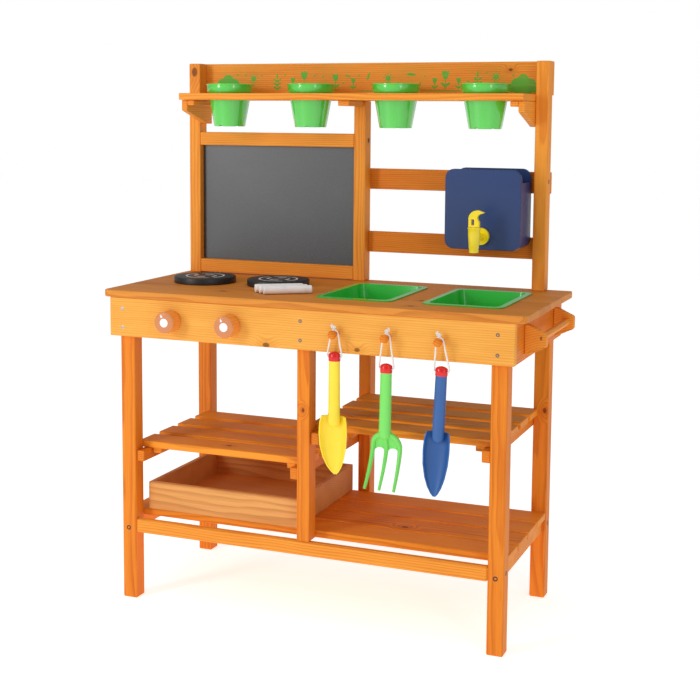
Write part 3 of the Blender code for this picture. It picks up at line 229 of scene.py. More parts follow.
def stained_wood(name, node, grain, tones, seed, knots=(), board=0.0, first=0.0):
    """Pine under an orange stain and satin lacquer: growth rings, fibres, blotches and knots.

    A slatted piece gives the pitch of its boards and where the first one starts, so that each
    board has its own grain."""
    shader = Shader(name)
    light, dark = tones
    coordinates = shader.place()
    low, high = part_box(node)
    middle = (low + high) / 2
    order = {"X": (0, 1, 2), "Y": (1, 0, 2), "Z": (2, 0, 1)}[grain]
    run, across, deep = (coordinates[i] for i in order)
    dice = random.Random(seed)
    along, shifted, number = run, across, None
    if board:
        number = shader.math("FLOOR", (across - first) / board)
        along = run + number * 0.731
        shifted = across + number * 0.0613
    heart_across = middle[order[1]] + dice.uniform(-0.02, 0.02)
    heart_deep = middle[order[2]] + dice.choice((-1, 1)) * dice.uniform(0.035, 0.06)
    wander = shader.noise(shader.vector(along * 2.3 + seed * 3.7, shifted * 9, deep * 9), 1.0, 3.0)
    spread, core = 0.0, 0.0
    for knot_x, knot_y, knot_z, radius in knots:
        spot = at(knot_x, knot_y, knot_z)
        size = radius * MM
        reach = shader.math("SQRT", shader.square((run - spot[order[0]]) / KNOT_STRETCH)
                            + shader.square(across - spot[order[1]])
                            + shader.square(deep - spot[order[2]]))
        spread = spread + shader.step(reach, size * 5, size * 0.6) * 2.2
        core = shader.most(core, shader.step(reach, size * 1.15, size * 0.7))
    distance = shader.math("SQRT", shader.square(shifted - heart_across) + shader.square(deep - heart_deep))
    ring = shader.math("FRACT", distance * RINGS_PER_METRE + (wander - 0.5) * 5.0 + spread)
    late = shader.step(ring, 0.25, 0.86) * shader.step(ring, 1.0, 0.9)
    fibre = shader.noise(shader.vector(along * 11, shifted * FIBRES_PER_METRE, deep * FIBRES_PER_METRE),
                         1.0, 3.0, 0.6)
    blotch = shader.noise(shader.vector(along * 5 + seed, shifted * 22, deep * 22), 1.0, 2.0)
    tone = late * 0.42 + (fibre - 0.5) * 0.75 + (blotch - 0.5) * 0.55 + 0.1
    if number is not None:
        tone = tone + (shader.math("FRACT", number * 0.618 + 0.31) - 0.5) * 0.28
    colour = shader.mix(tone, light, dark)
    if knots:
        colour = shader.mix(shader.step(spread, 0.2, 2.4) * 0.35, colour, dark)
        colour = shader.mix(core * 0.85, colour, deeper(dark, 0.28))
    return shader.finish(Base_Color=colour, Roughness=0.48 + fibre * 0.16 + late * -0.04,
                         Normal=shader.bump(late * -0.35 + fibre * 0.8, 0.0003, 0.5), Specular_IOR_Level=0.22)


def moulded(name, colour, roughness=0.25, peel=260.0, depth=0.00005, coat=0.0, shade=0.82, **more):
    """Coloured plastic: a faint cloudiness, and the fine peel of the mould."""
    shader = Shader(name)
    here = shader.vector(*shader.place())
    cloud = shader.noise(here, 14.0, 3.0)
    skin = shader.noise(here, peel, 2.0)
    tint = shader.mix(shader.step(cloud, 0.25, 0.8) * 0.5, colour, deeper(colour, shade))
    return shader.finish(Base_Color=tint, Roughness=roughness + (cloud - 0.5) * 0.08 + (skin - 0.5) * 0.05,
                         Normal=shader.bump(skin, depth, 0.6), Coat_Weight=coat, Coat_Roughness=0.04, **more)


def tool_paint(name, colour, number):
    """A tool's plastic, with the red cap at the top of its handle."""
    shader = Shader(name)
    x, y, z = shader.place()
    top = at(PEG_XS[number] + CAP_SHIFTS[number], TOOL_Y, CAP_TOPS[number])
    lean = math.radians(LEANS[number])
    below = (x - top.x) * -math.sin(lean) + (z - top.z) * -math.cos(lean)
    cap = shader.step(below, 17.6 * MM, 17.3 * MM)
    here = shader.vector(x, y, z)
    cloud = shader.noise(here, 22.0, 3.0)
    skin = shader.noise(here, 320.0, 2.0)
    shade = shader.step(cloud, 0.3, 0.8) * 0.4
    red = srgb(225, 22, 24)
    body = shader.mix(shade, colour, deeper(colour, 0.84))
    capped = shader.mix(shade, red, deeper(red, 0.72))
    return shader.finish(Base_Color=shader.mix(cap, body, capped),
                         Roughness=0.42 - cap * 0.2 + (cloud - 0.5) * 0.1 + (skin - 0.5) * 0.08,
                         Normal=shader.bump(skin, 0.00006, 0.6))


def hob_print(name, centre):
    """Black plate with a plain printed burner: two broken rings round a grey spot."""
    shader = Shader(name)
    x, y, z = shader.place()
    spot = at(*centre, 0.0)
    across, back = x - spot.x, y - spot.y
    reach = shader.math("SQRT", across * across + back * back)
    angle = shader.math("ARCTAN2", back, across) / math.pi
    breaks = shader.step(shader.math("ABSOLUTE", shader.math("PINGPONG", angle, 0.5) - 0.25), 0.1, 0.11)
    top = shader.step(z, at(0, 0, WORKTOP + 12.6).z, at(0, 0, WORKTOP + 12.9).z)
    notches = shader.band(shader.math("PINGPONG", angle + 0.25, 0.5), 0.0, 0.035, 0.008)
    outer = shader.band(reach, 0.0385, 0.0016, 0.0003) * (1.0 - notches)
    inner = shader.band(reach, 0.0215, 0.0026, 0.0003) * breaks
    print_on = shader.most(outer, inner) * top
    here = shader.vector(x, y, z)
    speck = shader.noise(here, 900.0, 2.0)
    wear = shader.noise(here, 60.0, 4.0, 0.7)
    base = shader.mix(shader.step(speck, 0.45, 0.75) * 0.5, (0.008, 0.008, 0.009), (0.035, 0.035, 0.037))
    spot_tone = shader.step(reach, 0.0135, 0.012) * top
    base = shader.mix(spot_tone * 0.8, base, (0.12, 0.115, 0.115))
    ink = shader.mix(shader.step(wear, 0.5, 0.75) * 0.35, (0.72, 0.71, 0.7), (0.3, 0.3, 0.3))
    return shader.finish(Base_Color=shader.mix(print_on, base, ink),
                         Roughness=0.34 + speck * 0.2 + print_on * 0.2,
                         Normal=shader.bump(speck + print_on * 0.4, 0.00008, 0.6))


def slate(name):
    """Matt black writing board with a fine speckle and old chalk dust."""
    shader = Shader(name)
    x, y, z = shader.place()
    here = shader.vector(x, y, z)
    speck = shader.noise(here, 620.0, 3.0, 0.7)
    dust = shader.noise(shader.vector(x * 5, y * 5, z * 7), 1.0, 4.0, 0.6)
    base = shader.mix(shader.step(speck, 0.42, 0.72), srgb(16, 18, 20), srgb(62, 66, 69))
    base = shader.mix(shader.step(dust, 0.5, 0.85) * 0.07, base, srgb(140, 145, 148))
    return shader.finish(Base_Color=base, Roughness=0.4 + speck * 0.1 - dust * 0.04,
                         Normal=shader.bump(speck, 0.00012, 0.6), Specular_IOR_Level=1.0)


def chalk_white(name):
    """Soft white chalk, gritty, with greyer rubbed patches."""
    shader = Shader(name)
    here = shader.vector(*shader.place())
    grit = shader.noise(here, 500.0, 4.0, 0.7)
    smudge = shader.noise(here, 45.0, 3.0)
    tone = shader.step(smudge, 0.4, 0.8) * 0.5 + (grit - 0.5) * 0.3
    return shader.finish(Base_Color=shader.mix(tone, srgb(240, 236, 234), srgb(206, 200, 198)),
                         Roughness=0.78 + grit * 0.15, Normal=shader.bump(grit, 0.0002, 0.7))


def twisted_cotton(name):
    """White cord laid from twisted strands; the twist shows as slanting ridges, with painted shade darkening
    the grooves between them.
    """
    shader = Shader(name)
    x, y, z = shader.place()
    ridge = shader.math("SINE", (z + x * 0.8 + y * 0.8) * (2 * math.pi / 0.0022)) * 0.5 + 0.5
    fuzz = shader.noise(shader.vector(x, y, z), 1400.0, 3.0, 0.7)
    # painted shade: the grooves between the ridges are darkened; the fuzz adds real fibre variation
    tone = (1.0 - ridge) * 0.45 + (fuzz - 0.5) * 0.5
    yarn_with_groove_shade = shader.mix(tone, srgb(250, 249, 245), srgb(205, 200, 190))
    return shader.finish(Base_Color=yarn_with_groove_shade, Roughness=0.86, Normal=shader.bump(ridge + fuzz * 0.7, 0.0004, 0.8))


def metal(name, colour, roughness, grime=0.35):
    """Plated or blackened steel, dull in its low spots."""
    shader = Shader(name)
    here = shader.vector(*shader.place())
    scratch = shader.noise(here, 1500.0, 4.0, 0.7)
    stain = shader.noise(here, 260.0, 3.0)
    tone = shader.step(stain, 0.35, 0.75) * grime
    return shader.finish(Base_Color=shader.mix(tone, colour, deeper(colour, 0.4)), Metallic=1.0,
                         Roughness=roughness + scratch * 0.18, Normal=shader.bump(scratch, 0.00004, 0.5))


def stencil_ink(name, colour):
    """Green paint rubbed through a stencil, thin enough for the grain to show."""
    shader = Shader(name)
    x, y, z = shader.place()
    rub = shader.noise(shader.vector(x * 14, y * 14, z * 260), 1.0, 3.0, 0.6)
    patch = shader.noise(shader.vector(x, y, z), 60.0, 3.0)
    tone = shader.step(rub, 0.5, 0.78) * 0.6 + shader.step(patch, 0.55, 0.8) * 0.3
    return shader.finish(Base_Color=shader.mix(tone, colour, srgb(170, 168, 62)), Roughness=0.55 + rub * 0.1,
                         Normal=shader.bump(rub, 0.0001, 0.5))


def studio_floor(name):
    """A pale, evenly lit floor."""
    shader = Shader(name)
    here = shader.vector(*shader.place())
    cloud = shader.noise(here, 1.5, 2.0)
    paper = shader.mix(cloud * 0.3, (0.9, 0.9, 0.9), (0.86, 0.86, 0.86))
    return shader.finish(Base_Color=paper, Roughness=0.8, Emission_Color=(1.0, 1.0, 1.0),
                         Emission_Strength=0.62)


# ---------------------------------------------------------------- modelling helpers
def only(piece):
    """Make this the one selected and active object."""
    bpy.ops.object.select_all(action="DESELECT")
    piece.select_set(True)
    bpy.context.view_layer.objects.active = piece
    return piece


def edit(piece, kind="FACE"):
    only(piece)
    bpy.ops.object.mode_set(mode="EDIT")
    bpy.ops.mesh.select_mode(type=kind)


def done():
    bpy.ops.object.mode_set(mode="OBJECT")


def stand(piece, place):
    """Put a piece made at the origin in its place, and keep the place in its mesh."""
    only(piece)
    piece.matrix_world = place @ piece.matrix_world
    bpy.ops.object.transform_apply(location=True, rotation=True, scale=True)
    return piece


def outward(piece):
    edit(piece)
    bpy.ops.mesh.select_all(action="SELECT")
    bpy.ops.mesh.normals_make_consistent(inside=False)
    done()


def smooth(piece, angle=35):
    only(piece)
    bpy.ops.object.shade_smooth_by_angle(angle=math.radians(angle))
    return piece


def apply_modifier(piece, kind, **settings):
    only(piece)
    modifier = piece.modifiers.new(kind.lower(), kind)
    for key, value in settings.items():
        setattr(modifier, key, value)
    bpy.ops.object.modifier_apply(modifier=modifier.name)
    return piece


def finish_with(piece, material):
    piece.data.materials.clear()
    piece.data.materials.append(material)


def name_it(piece, name, material):
    piece.name = piece.data.name = name
    finish_with(piece, material)
    return piece


def turned(profile, sides=64):
    """Raise a disc through stations of radius and height, in millimetres, along Z."""
    radius, height = profile[0]
    bpy.ops.mesh.primitive_circle_add(vertices=sides, radius=radius * MM, fill_type="NGON",
                                      location=(0, 0, height * MM))
    piece = bpy.context.object
    edit(piece)
    bpy.ops.mesh.select_all(action="SELECT")
    for (r0, h0), (r1, h1) in zip(profile, profile[1:]):
        bpy.ops.mesh.extrude_region_move(TRANSFORM_OT_translate={"value": (0, 0, (h1 - h0) * MM)})
        bpy.ops.transform.resize(value=(r1 / r0, r1 / r0, 1), center_override=(0, 0, h1 * MM))
    done()
    outward(piece)
    only(piece)
    bpy.ops.object.transform_apply(location=True, rotation=True, scale=True)
    return piece


def box_piece(size, middle):
    """A block of this size, in millimetres, to be shaped further."""
    bpy.ops.mesh.primitive_cube_add(size=1, location=Vector(middle) * MM)
    piece = bpy.context.object
    piece.scale = Vector(size) * MM
    only(piece)
    bpy.ops.object.transform_apply(location=True, rotation=True, scale=True)
    return piece


def cut(piece, *cutters):
    for cutter in cutters:
        apply_modifier(piece, "BOOLEAN", operation="DIFFERENCE", object=cutter, solver="EXACT")
        drop(cutter)
    return piece


def copy_of(piece, name, place=None):
    """A copy with its own mesh."""
    twin = piece.copy()
    twin.data = piece.data.copy()
    twin.name = twin.data.name = name
    scene.collection.objects.link(twin)
    if place is not None:
        stand(twin, place)
    return twin


def joined(pieces, name):
    bpy.ops.object.select_all(action="DESELECT")
    for piece in pieces:
        piece.select_set(True)
    bpy.context.view_layer.objects.active = pieces[0]
    bpy.ops.object.join()
    pieces[0].name = pieces[0].data.name = name
    return pieces[0]


def drop(*pieces):
    """Take patterns away once their copies stand."""
    for piece in pieces:
        bpy.data.objects.remove(piece, do_unlink=True)


def keep(piece, body, *nodes, slot=None):
    """Let a finished piece ride on its body, in place of the plain nodes."""
    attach(piece, body)
    if nodes:
        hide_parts(*nodes)
    return piece


def merged_copy(node, name, material, angle=35):
    """A copy of a plain node, its triangles joined up and its round faces shaded smooth."""
    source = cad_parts[node]
    piece = source.copy()
    piece.data = source.data.copy()
    for key in list(piece.keys()):
        del piece[key]
    piece.parent = None
    piece.matrix_world = Matrix.Identity(4)
    scene.collection.objects.link(piece)
    name_it(piece, name, material)
    only(piece)
    if piece.data.has_custom_normals:
        bpy.ops.mesh.customdata_custom_splitnormals_clear()
    edit(piece, "VERT")
    bpy.ops.mesh.select_all(action="SELECT")
    bpy.ops.mesh.remove_doubles(threshold=0.00001)
    done()
    return smooth(piece, angle)


# ---------------------------------------------------------------- cords
def smooth_route(way_points, steps):
    """Points read from a smooth curve that passes through every way point."""
    ends = [2 * way_points[0] - way_points[1]] + way_points + [2 * way_points[-1] - way_points[-2]]
    route = []
    for before, first, second, after in zip(ends, ends[1:], ends[2:], ends[3:]):
        for i in range(steps):
            t = i / steps
            route.append(0.5 * (2 * first + (second - before) * t
                                + (2 * before - 5 * first + 4 * second - after) * t ** 2
                                + (3 * first - before - 3 * second + after) * t ** 3))
    return route + [way_points[-1]]


def string_route(peg_x, cap_x, cap_top):
    """Out of the cap on the right, over the peg, and back into the cap on the left."""
    over, side, hole_z = 6.6, 11.4, cap_top - 11.0

    def strand(hand):
        half = [Vector((cap_x + hand * (side + out), TOOL_Y, hole_z + up))
                for out, up in ((-0.7, -0.7), (0.9, 0.9), (2.7, 5.4))]
        peg = [Vector((peg_x + hand * over * math.cos(a), TOOL_Y, FITTING_Z + over * math.sin(a)))
               for a in (0.26, 0.91)]
        return half + [half[-1].lerp(peg[0], 0.5)] + peg

    return strand(1) + [Vector((peg_x, TOOL_Y, FITTING_Z + over))] + list(reversed(strand(-1)))


def curve_piece(name, strands, radius, material, resolution=3):
    """Round strands along smooth points; a point may carry its own share of the radius."""
    curve = bpy.data.curves.new(name, "CURVE")
    curve.dimensions = "3D"
    curve.bevel_depth = radius * MM
    curve.bevel_resolution = resolution
    curve.use_fill_caps = True
    for points in strands:
        spline = curve.splines.new("POLY")
        spline.points.add(len(points) - 1)
        for point, place in zip(spline.points, points):
            point.co = (*at(*place[:3]), 1.0)
            point.radius = place[3] if len(place) > 3 else 1.0
        spline.use_smooth = True
    curve.materials.append(material)
    piece = bpy.data.objects.new(name, curve)
    scene.collection.objects.link(piece)
    return piece


def make_strings():
    cotton = twisted_cotton("twisted_cotton")
    for number in range(3):
        peg_x = PEG_XS[number]
        route = smooth_route(string_route(peg_x, peg_x + CAP_SHIFTS[number], CAP_TOPS[number]), 6)
        length = sum((b - a).length for a, b in zip(route, route[1:])) * MM
        string = curve_piece(f"hanging_string_{number + 1}", [[tuple(p) for p in route]], STRING_RADIUS,
                             cotton)
        side = (-1, 1, -1)[number]
        knot = make_knot(number, Vector((peg_x + side * 1.5, TOOL_Y - 0.5, FITTING_Z + 12.0)), side, cotton)
        body = TOOL_BODIES[number]
        keep(string, body, f"string_{number + 1}", slot="string_white")
        keep(knot, body, slot="string_white")


def make_knot(number, centre, side, cotton):
    """An overhand knot above the peg, and its two short frayed ends."""
    dice = random.Random(number + 11)
    tie = []
    for i in range(49):
        t = 2 * math.pi * i / 48
        loop = Vector(((math.sin(t) + 2 * math.sin(2 * t)) * 1.15, math.sin(3 * t) * 1.7,
                       (math.cos(t) - 2 * math.cos(2 * t)) * 1.15))
        tie.append((*(centre + loop), 0.92))
    tie.append(tie[0])
    strands = [tie]
    for hand in (-1, 1):
        start = centre + Vector((hand * 1.2, 0, -2.0))
        foot = Vector((centre.x + hand * 2.6 - side * 1.2, TOOL_Y, FITTING_Z + 6.9))
        strands.append([(*start.lerp(foot, t), 0.95) for t in (0.0, 0.5, 1.0)])
    for end in range(2):
        lean = side * (0.55 + 0.5 * end)
        for fibre in range(7):
            swing = lean + dice.uniform(-0.34, 0.34)
            away = dice.uniform(-0.3, 0.3)
            reach = dice.uniform(4.6, 6.4)
            heading = Vector((math.sin(swing), away - 0.1, math.cos(swing)))
            root = centre + Vector((side * 0.8, 0, 1.6))
            bend = Vector((dice.uniform(-0.7, 0.7), dice.uniform(-0.5, 0.5), 0))
            strands.append([(*(root + heading * reach * s + bend * s * s), 0.5 - 0.25 * s)
                            for s in (0.0, 0.3, 0.6, 0.85, 1.0)])
    knot = curve_piece(f"string_knot_{number + 1}", strands, STRING_RADIUS, cotton, 2)
    only(knot)
    bpy.ops.object.convert(target="MESH")
    knot = bpy.context.object
    only(knot)
    bpy.ops.object.transform_apply(location=True, rotation=True, scale=True)
    return knot


make_strings()


# ---------------------------------------------------------------- timber
# Each stain is a light and a dark tone, for the early and the late wood.
LEG_STAIN = srgb(236, 138, 34), srgb(192, 84, 8)
BACK_STAIN = srgb(244, 158, 54), srgb(204, 102, 14)
APRON_STAIN = srgb(244, 176, 78), srgb(214, 130, 34)
TOP_STAIN = srgb(222, 142, 54), srgb(172, 90, 20)
SLAT_STAIN = srgb(248, 154, 44), srgb(190, 92, 8)
TRAY_STAIN = srgb(232, 166, 94), srgb(180, 106, 44)
STAINS = {
    "apron_front": APRON_STAIN, "worktop": TOP_STAIN, "tray": TRAY_STAIN,
    "bottom_shelf": SLAT_STAIN, "shelf_left": SLAT_STAIN, "shelf_right": SLAT_STAIN,
    "header_board": BACK_STAIN, "lower_rail_front": BACK_STAIN,
}
BACK_PIECES = ("upright", "pot_", "chalkboard", "towel")
UPRIGHT_GRAIN = ("leg", "middle_post", "upright")
CROSS_GRAIN = ("apron_left", "apron_right", "support", "pot_batten", "pot_bracket", "towel_rail", "peg")
NOT_WOOD = ("pot_1", "pot_2", "pot_3", "pot_4", "water_tank", "tap_body", "tap_lever", "sink_left",
            "sink_right", "hob_plate_left", "hob_plate_right", "chalk_pack", "chalkboard_panel", *TOOLS,
            "string_1", "string_2", "string_3", "knob_left", "knob_right")
KNOTS = {                                  # place and radius, in millimetres
    "apron_front": ((325.5, APRON_FACE, 541.7, 5), (509.6, APRON_FACE, 545.7, 4)),
    "worktop": ((196.5, 60.8, WORKTOP, 5), (600, 20, WORKTOP, 4), (596, 96, WORKTOP, 4)),
    "upright_left": ((-6, POST_FACE, 1064, 7),), "upright_middle": ((393, 340, 921, 3),),
    "bottom_shelf": ((560, 120, 179, 5), (250, 210, 179, 4)),
    "tray": ((350, 150, 205, 4),), "middle_post_front": ((396, 0, 420, 3),),
    "leg_rear_right": ((783, 321, 388, 4),), "header_board": ((690, 353.6, 1066, 3),),
    "shelf_right": ((470, 90, 391, 5),), "shelf_left": ((210, 60, 319, 4),),
}
BOARDS = {                                 # pitch in metres, and where the first board starts
    "bottom_shelf": (0.0732, at(0, 29.6, 0).y), "shelf_left": (0.077, at(0, 22.0, 0).y),
    "shelf_right": (0.077, at(0, 38.0, 0).y), "worktop": (0.0926, at(0, -17, 0).y),
}


def grain_of(node):
    """The axis that a piece's grain runs along."""
    if any(word in node for word in CROSS_GRAIN):
        return "Y"
    return "Z" if node.startswith(UPRIGHT_GRAIN) else "X"


def finish_timber():
    """Stain every wooden piece; gives the finishes by node."""
    wood = {}
    for seed, node in enumerate(sorted(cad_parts), start=1):
        if node in NOT_WOOD:
            continue
        stain = STAINS.get(node, BACK_STAIN if node.startswith(BACK_PIECES) else LEG_STAIN)
        wood[node] = stained_wood(f"wood_{node}", node, grain_of(node), stain, seed, KNOTS.get(node, ()),
                                  *BOARDS.get(node, (0.0, 0.0)))
        finish_with(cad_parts[node], wood[node])
    return wood


WOOD = finish_timber()


# ---------------------------------------------------------------- fastenings
def make_screw_master(radius):
    """A countersunk cross-head screw, head up, its face at the origin."""
    head = turned([(radius * 0.55, -1.6), (radius * 0.96, -0.3), (radius, -0.05), (radius * 0.98, 0.12),
                   (radius * 0.86, 0.2), (0.01, 0.26)], 24)
    arm, width, depth = radius * 1.15, radius * 0.3, 1.4
    cut(head, box_piece((arm, width, depth), (0, 0, 0.1)), box_piece((width, arm, depth), (0, 0, 0.1)))
    return smooth(head, 30)


def make_bolt_master():
    """A sunk barrel bolt with a round socket in its head."""
    head = turned([(4.6, -2.0), (4.8, -0.1), (4.5, 0.25), (3.4, 0.35), (2.5, 0.3), (2.3, -1.2)], 24)
    return smooth(head, 30)


def facing(direction, x, y, z):
    """The place of a fastening whose head looks along direction."""
    turn = Vector((0, 0, 1)).rotation_difference(Vector(direction)).to_matrix().to_4x4()
    return Matrix.Translation(at(x, y, z)) @ turn


FRONT, RIGHT, LEFT, BACK = (0, -1, 0), (1, 0, 0), (-1, 0, 0), (0, 1, 0)


def drive(master, name, places, material):
    """Copies of one fastening, each with its own mesh, riding on the bench."""
    name_it(master, name + "_pattern", material)
    dice = random.Random(len(places))
    for number, (direction, x, y, z) in enumerate(places, start=1):
        spin = Matrix.Rotation(dice.uniform(0, math.pi), 4, "Z")
        keep(copy_of(master, f"{name}_{number}", facing(direction, x, y, z) @ spin), ON_BENCH)


def fit_fastenings():
    plated = metal("plated_steel", (0.42, 0.42, 0.43), 0.34)
    dull = metal("dull_steel", (0.16, 0.16, 0.165), 0.4)
    black = metal("blackened_steel", (0.05, 0.05, 0.055), 0.35, 0.2)
    silver = make_screw_master(3.6)
    small = make_screw_master(2.4)
    bolt = make_bolt_master()
    face, side = APRON_FACE, 805.3
    drive(silver, "apron_screw", [(FRONT, 13.5, face, z) for z in (591.7, 555.2)]
          + [(LEFT, -14.3, y, z) for y in (15, 336) for z in (591.7, 555.2)]
          + [(BACK, x, 365.6, z) for x in (-6, 763) for z in (1034, 1064)], plated)
    drive(silver, "dark_screw", [(FRONT, x, face, z) for x in (395.5, 774.5) for z in (591.7, 555.2)]
          + [(RIGHT, 836.9, 52, 579.5)], dull)
    drive(small, "small_screw", [(RIGHT, side, 9, 586), (RIGHT, side, 9, 564), (RIGHT, 393, 344, 641),
                                 (RIGHT, 20.3, 344.5, 993.4), (RIGHT, 20.3, 344.5, 961.6)], plated)
    drive(bolt, "frame_bolt", [(FRONT, 14, 0, 145), (FRONT, 775, 0, 145), (RIGHT, 791, 14, 153),
                               (LEFT, 0, 14, 153), (RIGHT, 791, 336, 153), (LEFT, 0, 336, 153),
                               (RIGHT, 393, 340, 921.5), (LEFT, -19, 340, 900), (RIGHT, 776, 340, 845),
                               (BACK, 14, 352, 145), (BACK, 775, 352, 145)], black)
    drop(silver, small, bolt)


fit_fastenings()


# ---------------------------------------------------------------- pots
POT_PLACE = (98.0, 285.3, 1017.0)          # the first pot's middle, on top of the shelf
POT_PITCH = 187.0
POT_LIP, POT_WALL, POT_FOOT = 49.5, 45.4, 32.5      # outer radii: lip, under the band, foot
POT_BAND, POT_HEIGHT, POT_ABOVE = 17.5, 89.0, 20.0
POT_SKIN = 1.8


def make_pots():
    """Four flared pots: foot, drain notches, tapered wall, stepped band and rolled lip."""
    rim = POT_ABOVE
    band, base = rim - POT_BAND, rim - POT_HEIGHT

    def wall(height):
        return POT_WALL + (POT_FOOT - POT_WALL) * (band - height) / (band - base)

    profile = [(29.0, base + 1.2), (31.2, base + 1.0), (31.8, base + 0.1), (32.4, base + 0.4),
               (wall(base + 6), base + 6)]
    profile += [(wall(base + h), base + h) for h in (22, 42, 62)]
    profile += [(wall(band) - 0.1, band - 0.2), (47.4, band), (47.7, band + 0.8), (48.1, rim - 6),
                (48.3, rim - 3.4), (49.2, rim - 2.9), (POT_LIP, rim - 2.1), (POT_LIP, rim - 0.8),
                (49.0, rim - 0.1), (48.0, rim), (47.2, rim - 0.5), (46.9, rim - 2), (45.9, band + 1.6),
                (wall(band) - POT_SKIN, band - 1.0)]
    profile += [(wall(base + h) - POT_SKIN, base + h) for h in (62, 42, 22, 4)]
    profile += [(28.6, base + 2.8), (9.0, base + 2.6), (8.6, base + 1.9), (0.4, base + 1.9)]
    pot = turned(profile, 96)
    notches = []
    for i in range(6):
        turn = Matrix.Rotation(math.radians(60 * i + 23), 4, "Z")
        notches.append(stand(box_piece((7.0, 7.5, 3.4), (POT_FOOT - 0.5, 0, base + 1.0)), turn))
    cut(pot, *notches)
    name_it(smooth(pot, 40), "pot_pattern",
            moulded("pot_plastic", srgb(78, 212, 66), 0.2, 180.0, 0.00003, 1.0))
    x, y, z = POT_PLACE
    for number in range(4):
        place = Matrix.Translation(at(x + POT_PITCH * number, y, z))
        turn = Matrix.Rotation(math.radians(17 * number), 4, "Z")
        keep(copy_of(pot, f"pot_body_{number + 1}", place @ turn), f"pot_{number + 1}", f"pot_{number + 1}",
             slot="pot_green")
    drop(pot)


make_pots()


# ---------------------------------------------------------------- knobs, pegs, towel rail
KNOB_FACE = 29.8                           # how far a knob's face stands out from the apron


def front_up():
    """The turn that keeps 'up' upright on a face that looks to the front."""
    up = facing(FRONT, 0, 0, 0).to_3x3().inverted() @ Vector((0, 0, 1))
    return Matrix.Rotation(math.atan2(up.y, up.x) - math.pi / 2, 4, "Z")


FRONT_UP = front_up()


def make_knobs():
    """Turned beech knobs with a white dot and a pointer."""
    white = moulded("pointer_paint", srgb(250, 248, 246), 0.5, 700.0, 0.0001)
    profile = [(4.4, -8.0), (4.5, 0.7), (19.2, 0.85), (20.2, 1.4), (21.0, 2.6), (21.0, 26.8), (20.7, 28.2),
               (19.9, 29.3), (18.6, KNOB_FACE), (10.0, KNOB_FACE), (0.2, KNOB_FACE)]
    under, side, over = KNOB_FACE - 0.1, KNOB_FACE + 0.05, KNOB_FACE + 0.2
    turn = Matrix.Rotation(math.radians(24), 4, "Z") @ Matrix.Translation((0, 13.4 * MM, 0))
    stretch = Matrix.Diagonal((0.8, 1.25, 1.0, 1.0))
    for hand, x in zip(SIDES, KNOB_XS):
        out = facing(FRONT, x, APRON_FACE, FITTING_Z)
        knob = stand(turned(profile, 72), out)
        name_it(smooth(knob, 30), f"knob_turned_{hand}", knob_wood(f"knob_wood_{hand}", x))
        keep(knob, f"knob_{hand}", f"knob_{hand}", slot="frame_wood")
        dot = stand(turned([(8.2, under), (8.5, side), (8.3, over), (3.0, over), (0.2, over)], 40), out)
        keep(name_it(smooth(dot), f"knob_dot_{hand}", white), f"knob_{hand}")
        pointer = turned([(3.5, under), (3.6, side), (3.4, over)], 3)
        stand(pointer, out @ FRONT_UP @ turn @ stretch)
        keep(name_it(pointer, f"knob_pointer_{hand}", white), f"knob_{hand}")


def knob_wood(name, x):
    """Turned wood: long grain on the side, darker end grain on the face."""
    shader = Shader(name)
    px, py, pz = shader.place()
    centre = at(x, APRON_FACE, FITTING_Z)
    face = shader.step(py, centre.y - 28.6 * MM, centre.y - 29.3 * MM)
    across, up = px - centre.x, pz - centre.z
    heart = shader.math("SQRT", shader.square(across + 0.03) + shader.square(up + 0.045))
    ring = shader.math("FRACT", heart * 620)
    fibre = shader.noise(shader.vector(px * 420, py * 16, pz * 420), 1.0, 3.0, 0.6)
    pore = shader.noise(shader.vector(px, py, pz), 1500.0, 3.0, 0.7)
    side_colour = shader.mix((fibre - 0.5) * 0.9 + ring * 0.3 + 0.1, srgb(246, 158, 66), srgb(208, 104, 34))
    end_colour = shader.mix(ring * 0.35 + (pore - 0.5) * 1.1 + 0.15, srgb(222, 146, 92), srgb(168, 84, 40))
    return shader.finish(Base_Color=shader.mix(face, side_colour, end_colour),
                         Roughness=0.38 + face * 0.18 + (fibre - 0.5) * 0.1,
                         Normal=shader.bump(fibre + pore * face, 0.00025, 0.5), Coat_Weight=0.1)


make_knobs()


def make_pegs():
    """Turned pegs with a small round head."""
    ball, middle = 8.2, 24.0
    head = [(ball * math.cos(a), middle + ball * math.sin(a)) for a in map(math.radians, range(-52, 90, 8))]
    peg = smooth(turned([(4.5, -9.0), (4.5, 16.2), (4.9, 17.2)] + head + [(0.15, middle + ball)], 40), 40)
    for number, x in enumerate(PEG_XS, start=1):
        piece = copy_of(peg, f"peg_turned_{number}", facing(FRONT, x, APRON_FACE, FITTING_Z))
        name_it(piece, f"peg_turned_{number}", WOOD[f"peg_{number}"])
        keep(piece, ON_BENCH, f"peg_{number}", slot="frame_wood")
    drop(peg)


make_pegs()
keep(merged_copy("towel_rail", "towel_rail_smooth", WOOD["towel_rail"]), ON_BENCH, "towel_rail",
     slot="frame_wood")


# ---------------------------------------------------------------- worktop fittings
def make_sinks():
    green = moulded("sink_plastic", srgb(42, 200, 58), 0.22, 200.0, 0.00008, 0.3)
    for side in SIDES:
        basin = merged_copy(f"sink_{side}", f"sink_basin_{side}", green, 40)
        keep(basin, f"sink_{side}", f"sink_{side}", slot="sink_green")


HOB_CENTRES = ((97.0, 174.0), (257.0, 188.0))


def make_hobs():
    """Round plates with an eased rim, printed on top."""
    profile = [(62.6, 0.0), (63.4, 0.4), (63.5, 1.2), (63.5, 11.4), (63.1, 12.3), (62.3, 12.8), (61.0, 13.0),
               (40.0, 13.0), (20.0, 13.0), (0.5, 13.0)]
    for side, centre in zip(SIDES, HOB_CENTRES):
        plate = stand(turned(profile, 128), Matrix.Translation(at(*centre, WORKTOP + SEAT_GAP)))
        name_it(smooth(plate, 30), f"hob_disc_{side}", hob_print(f"hob_print_{side}", centre))
        keep(plate, ON_BENCH, f"hob_plate_{side}", slot="hob_black")


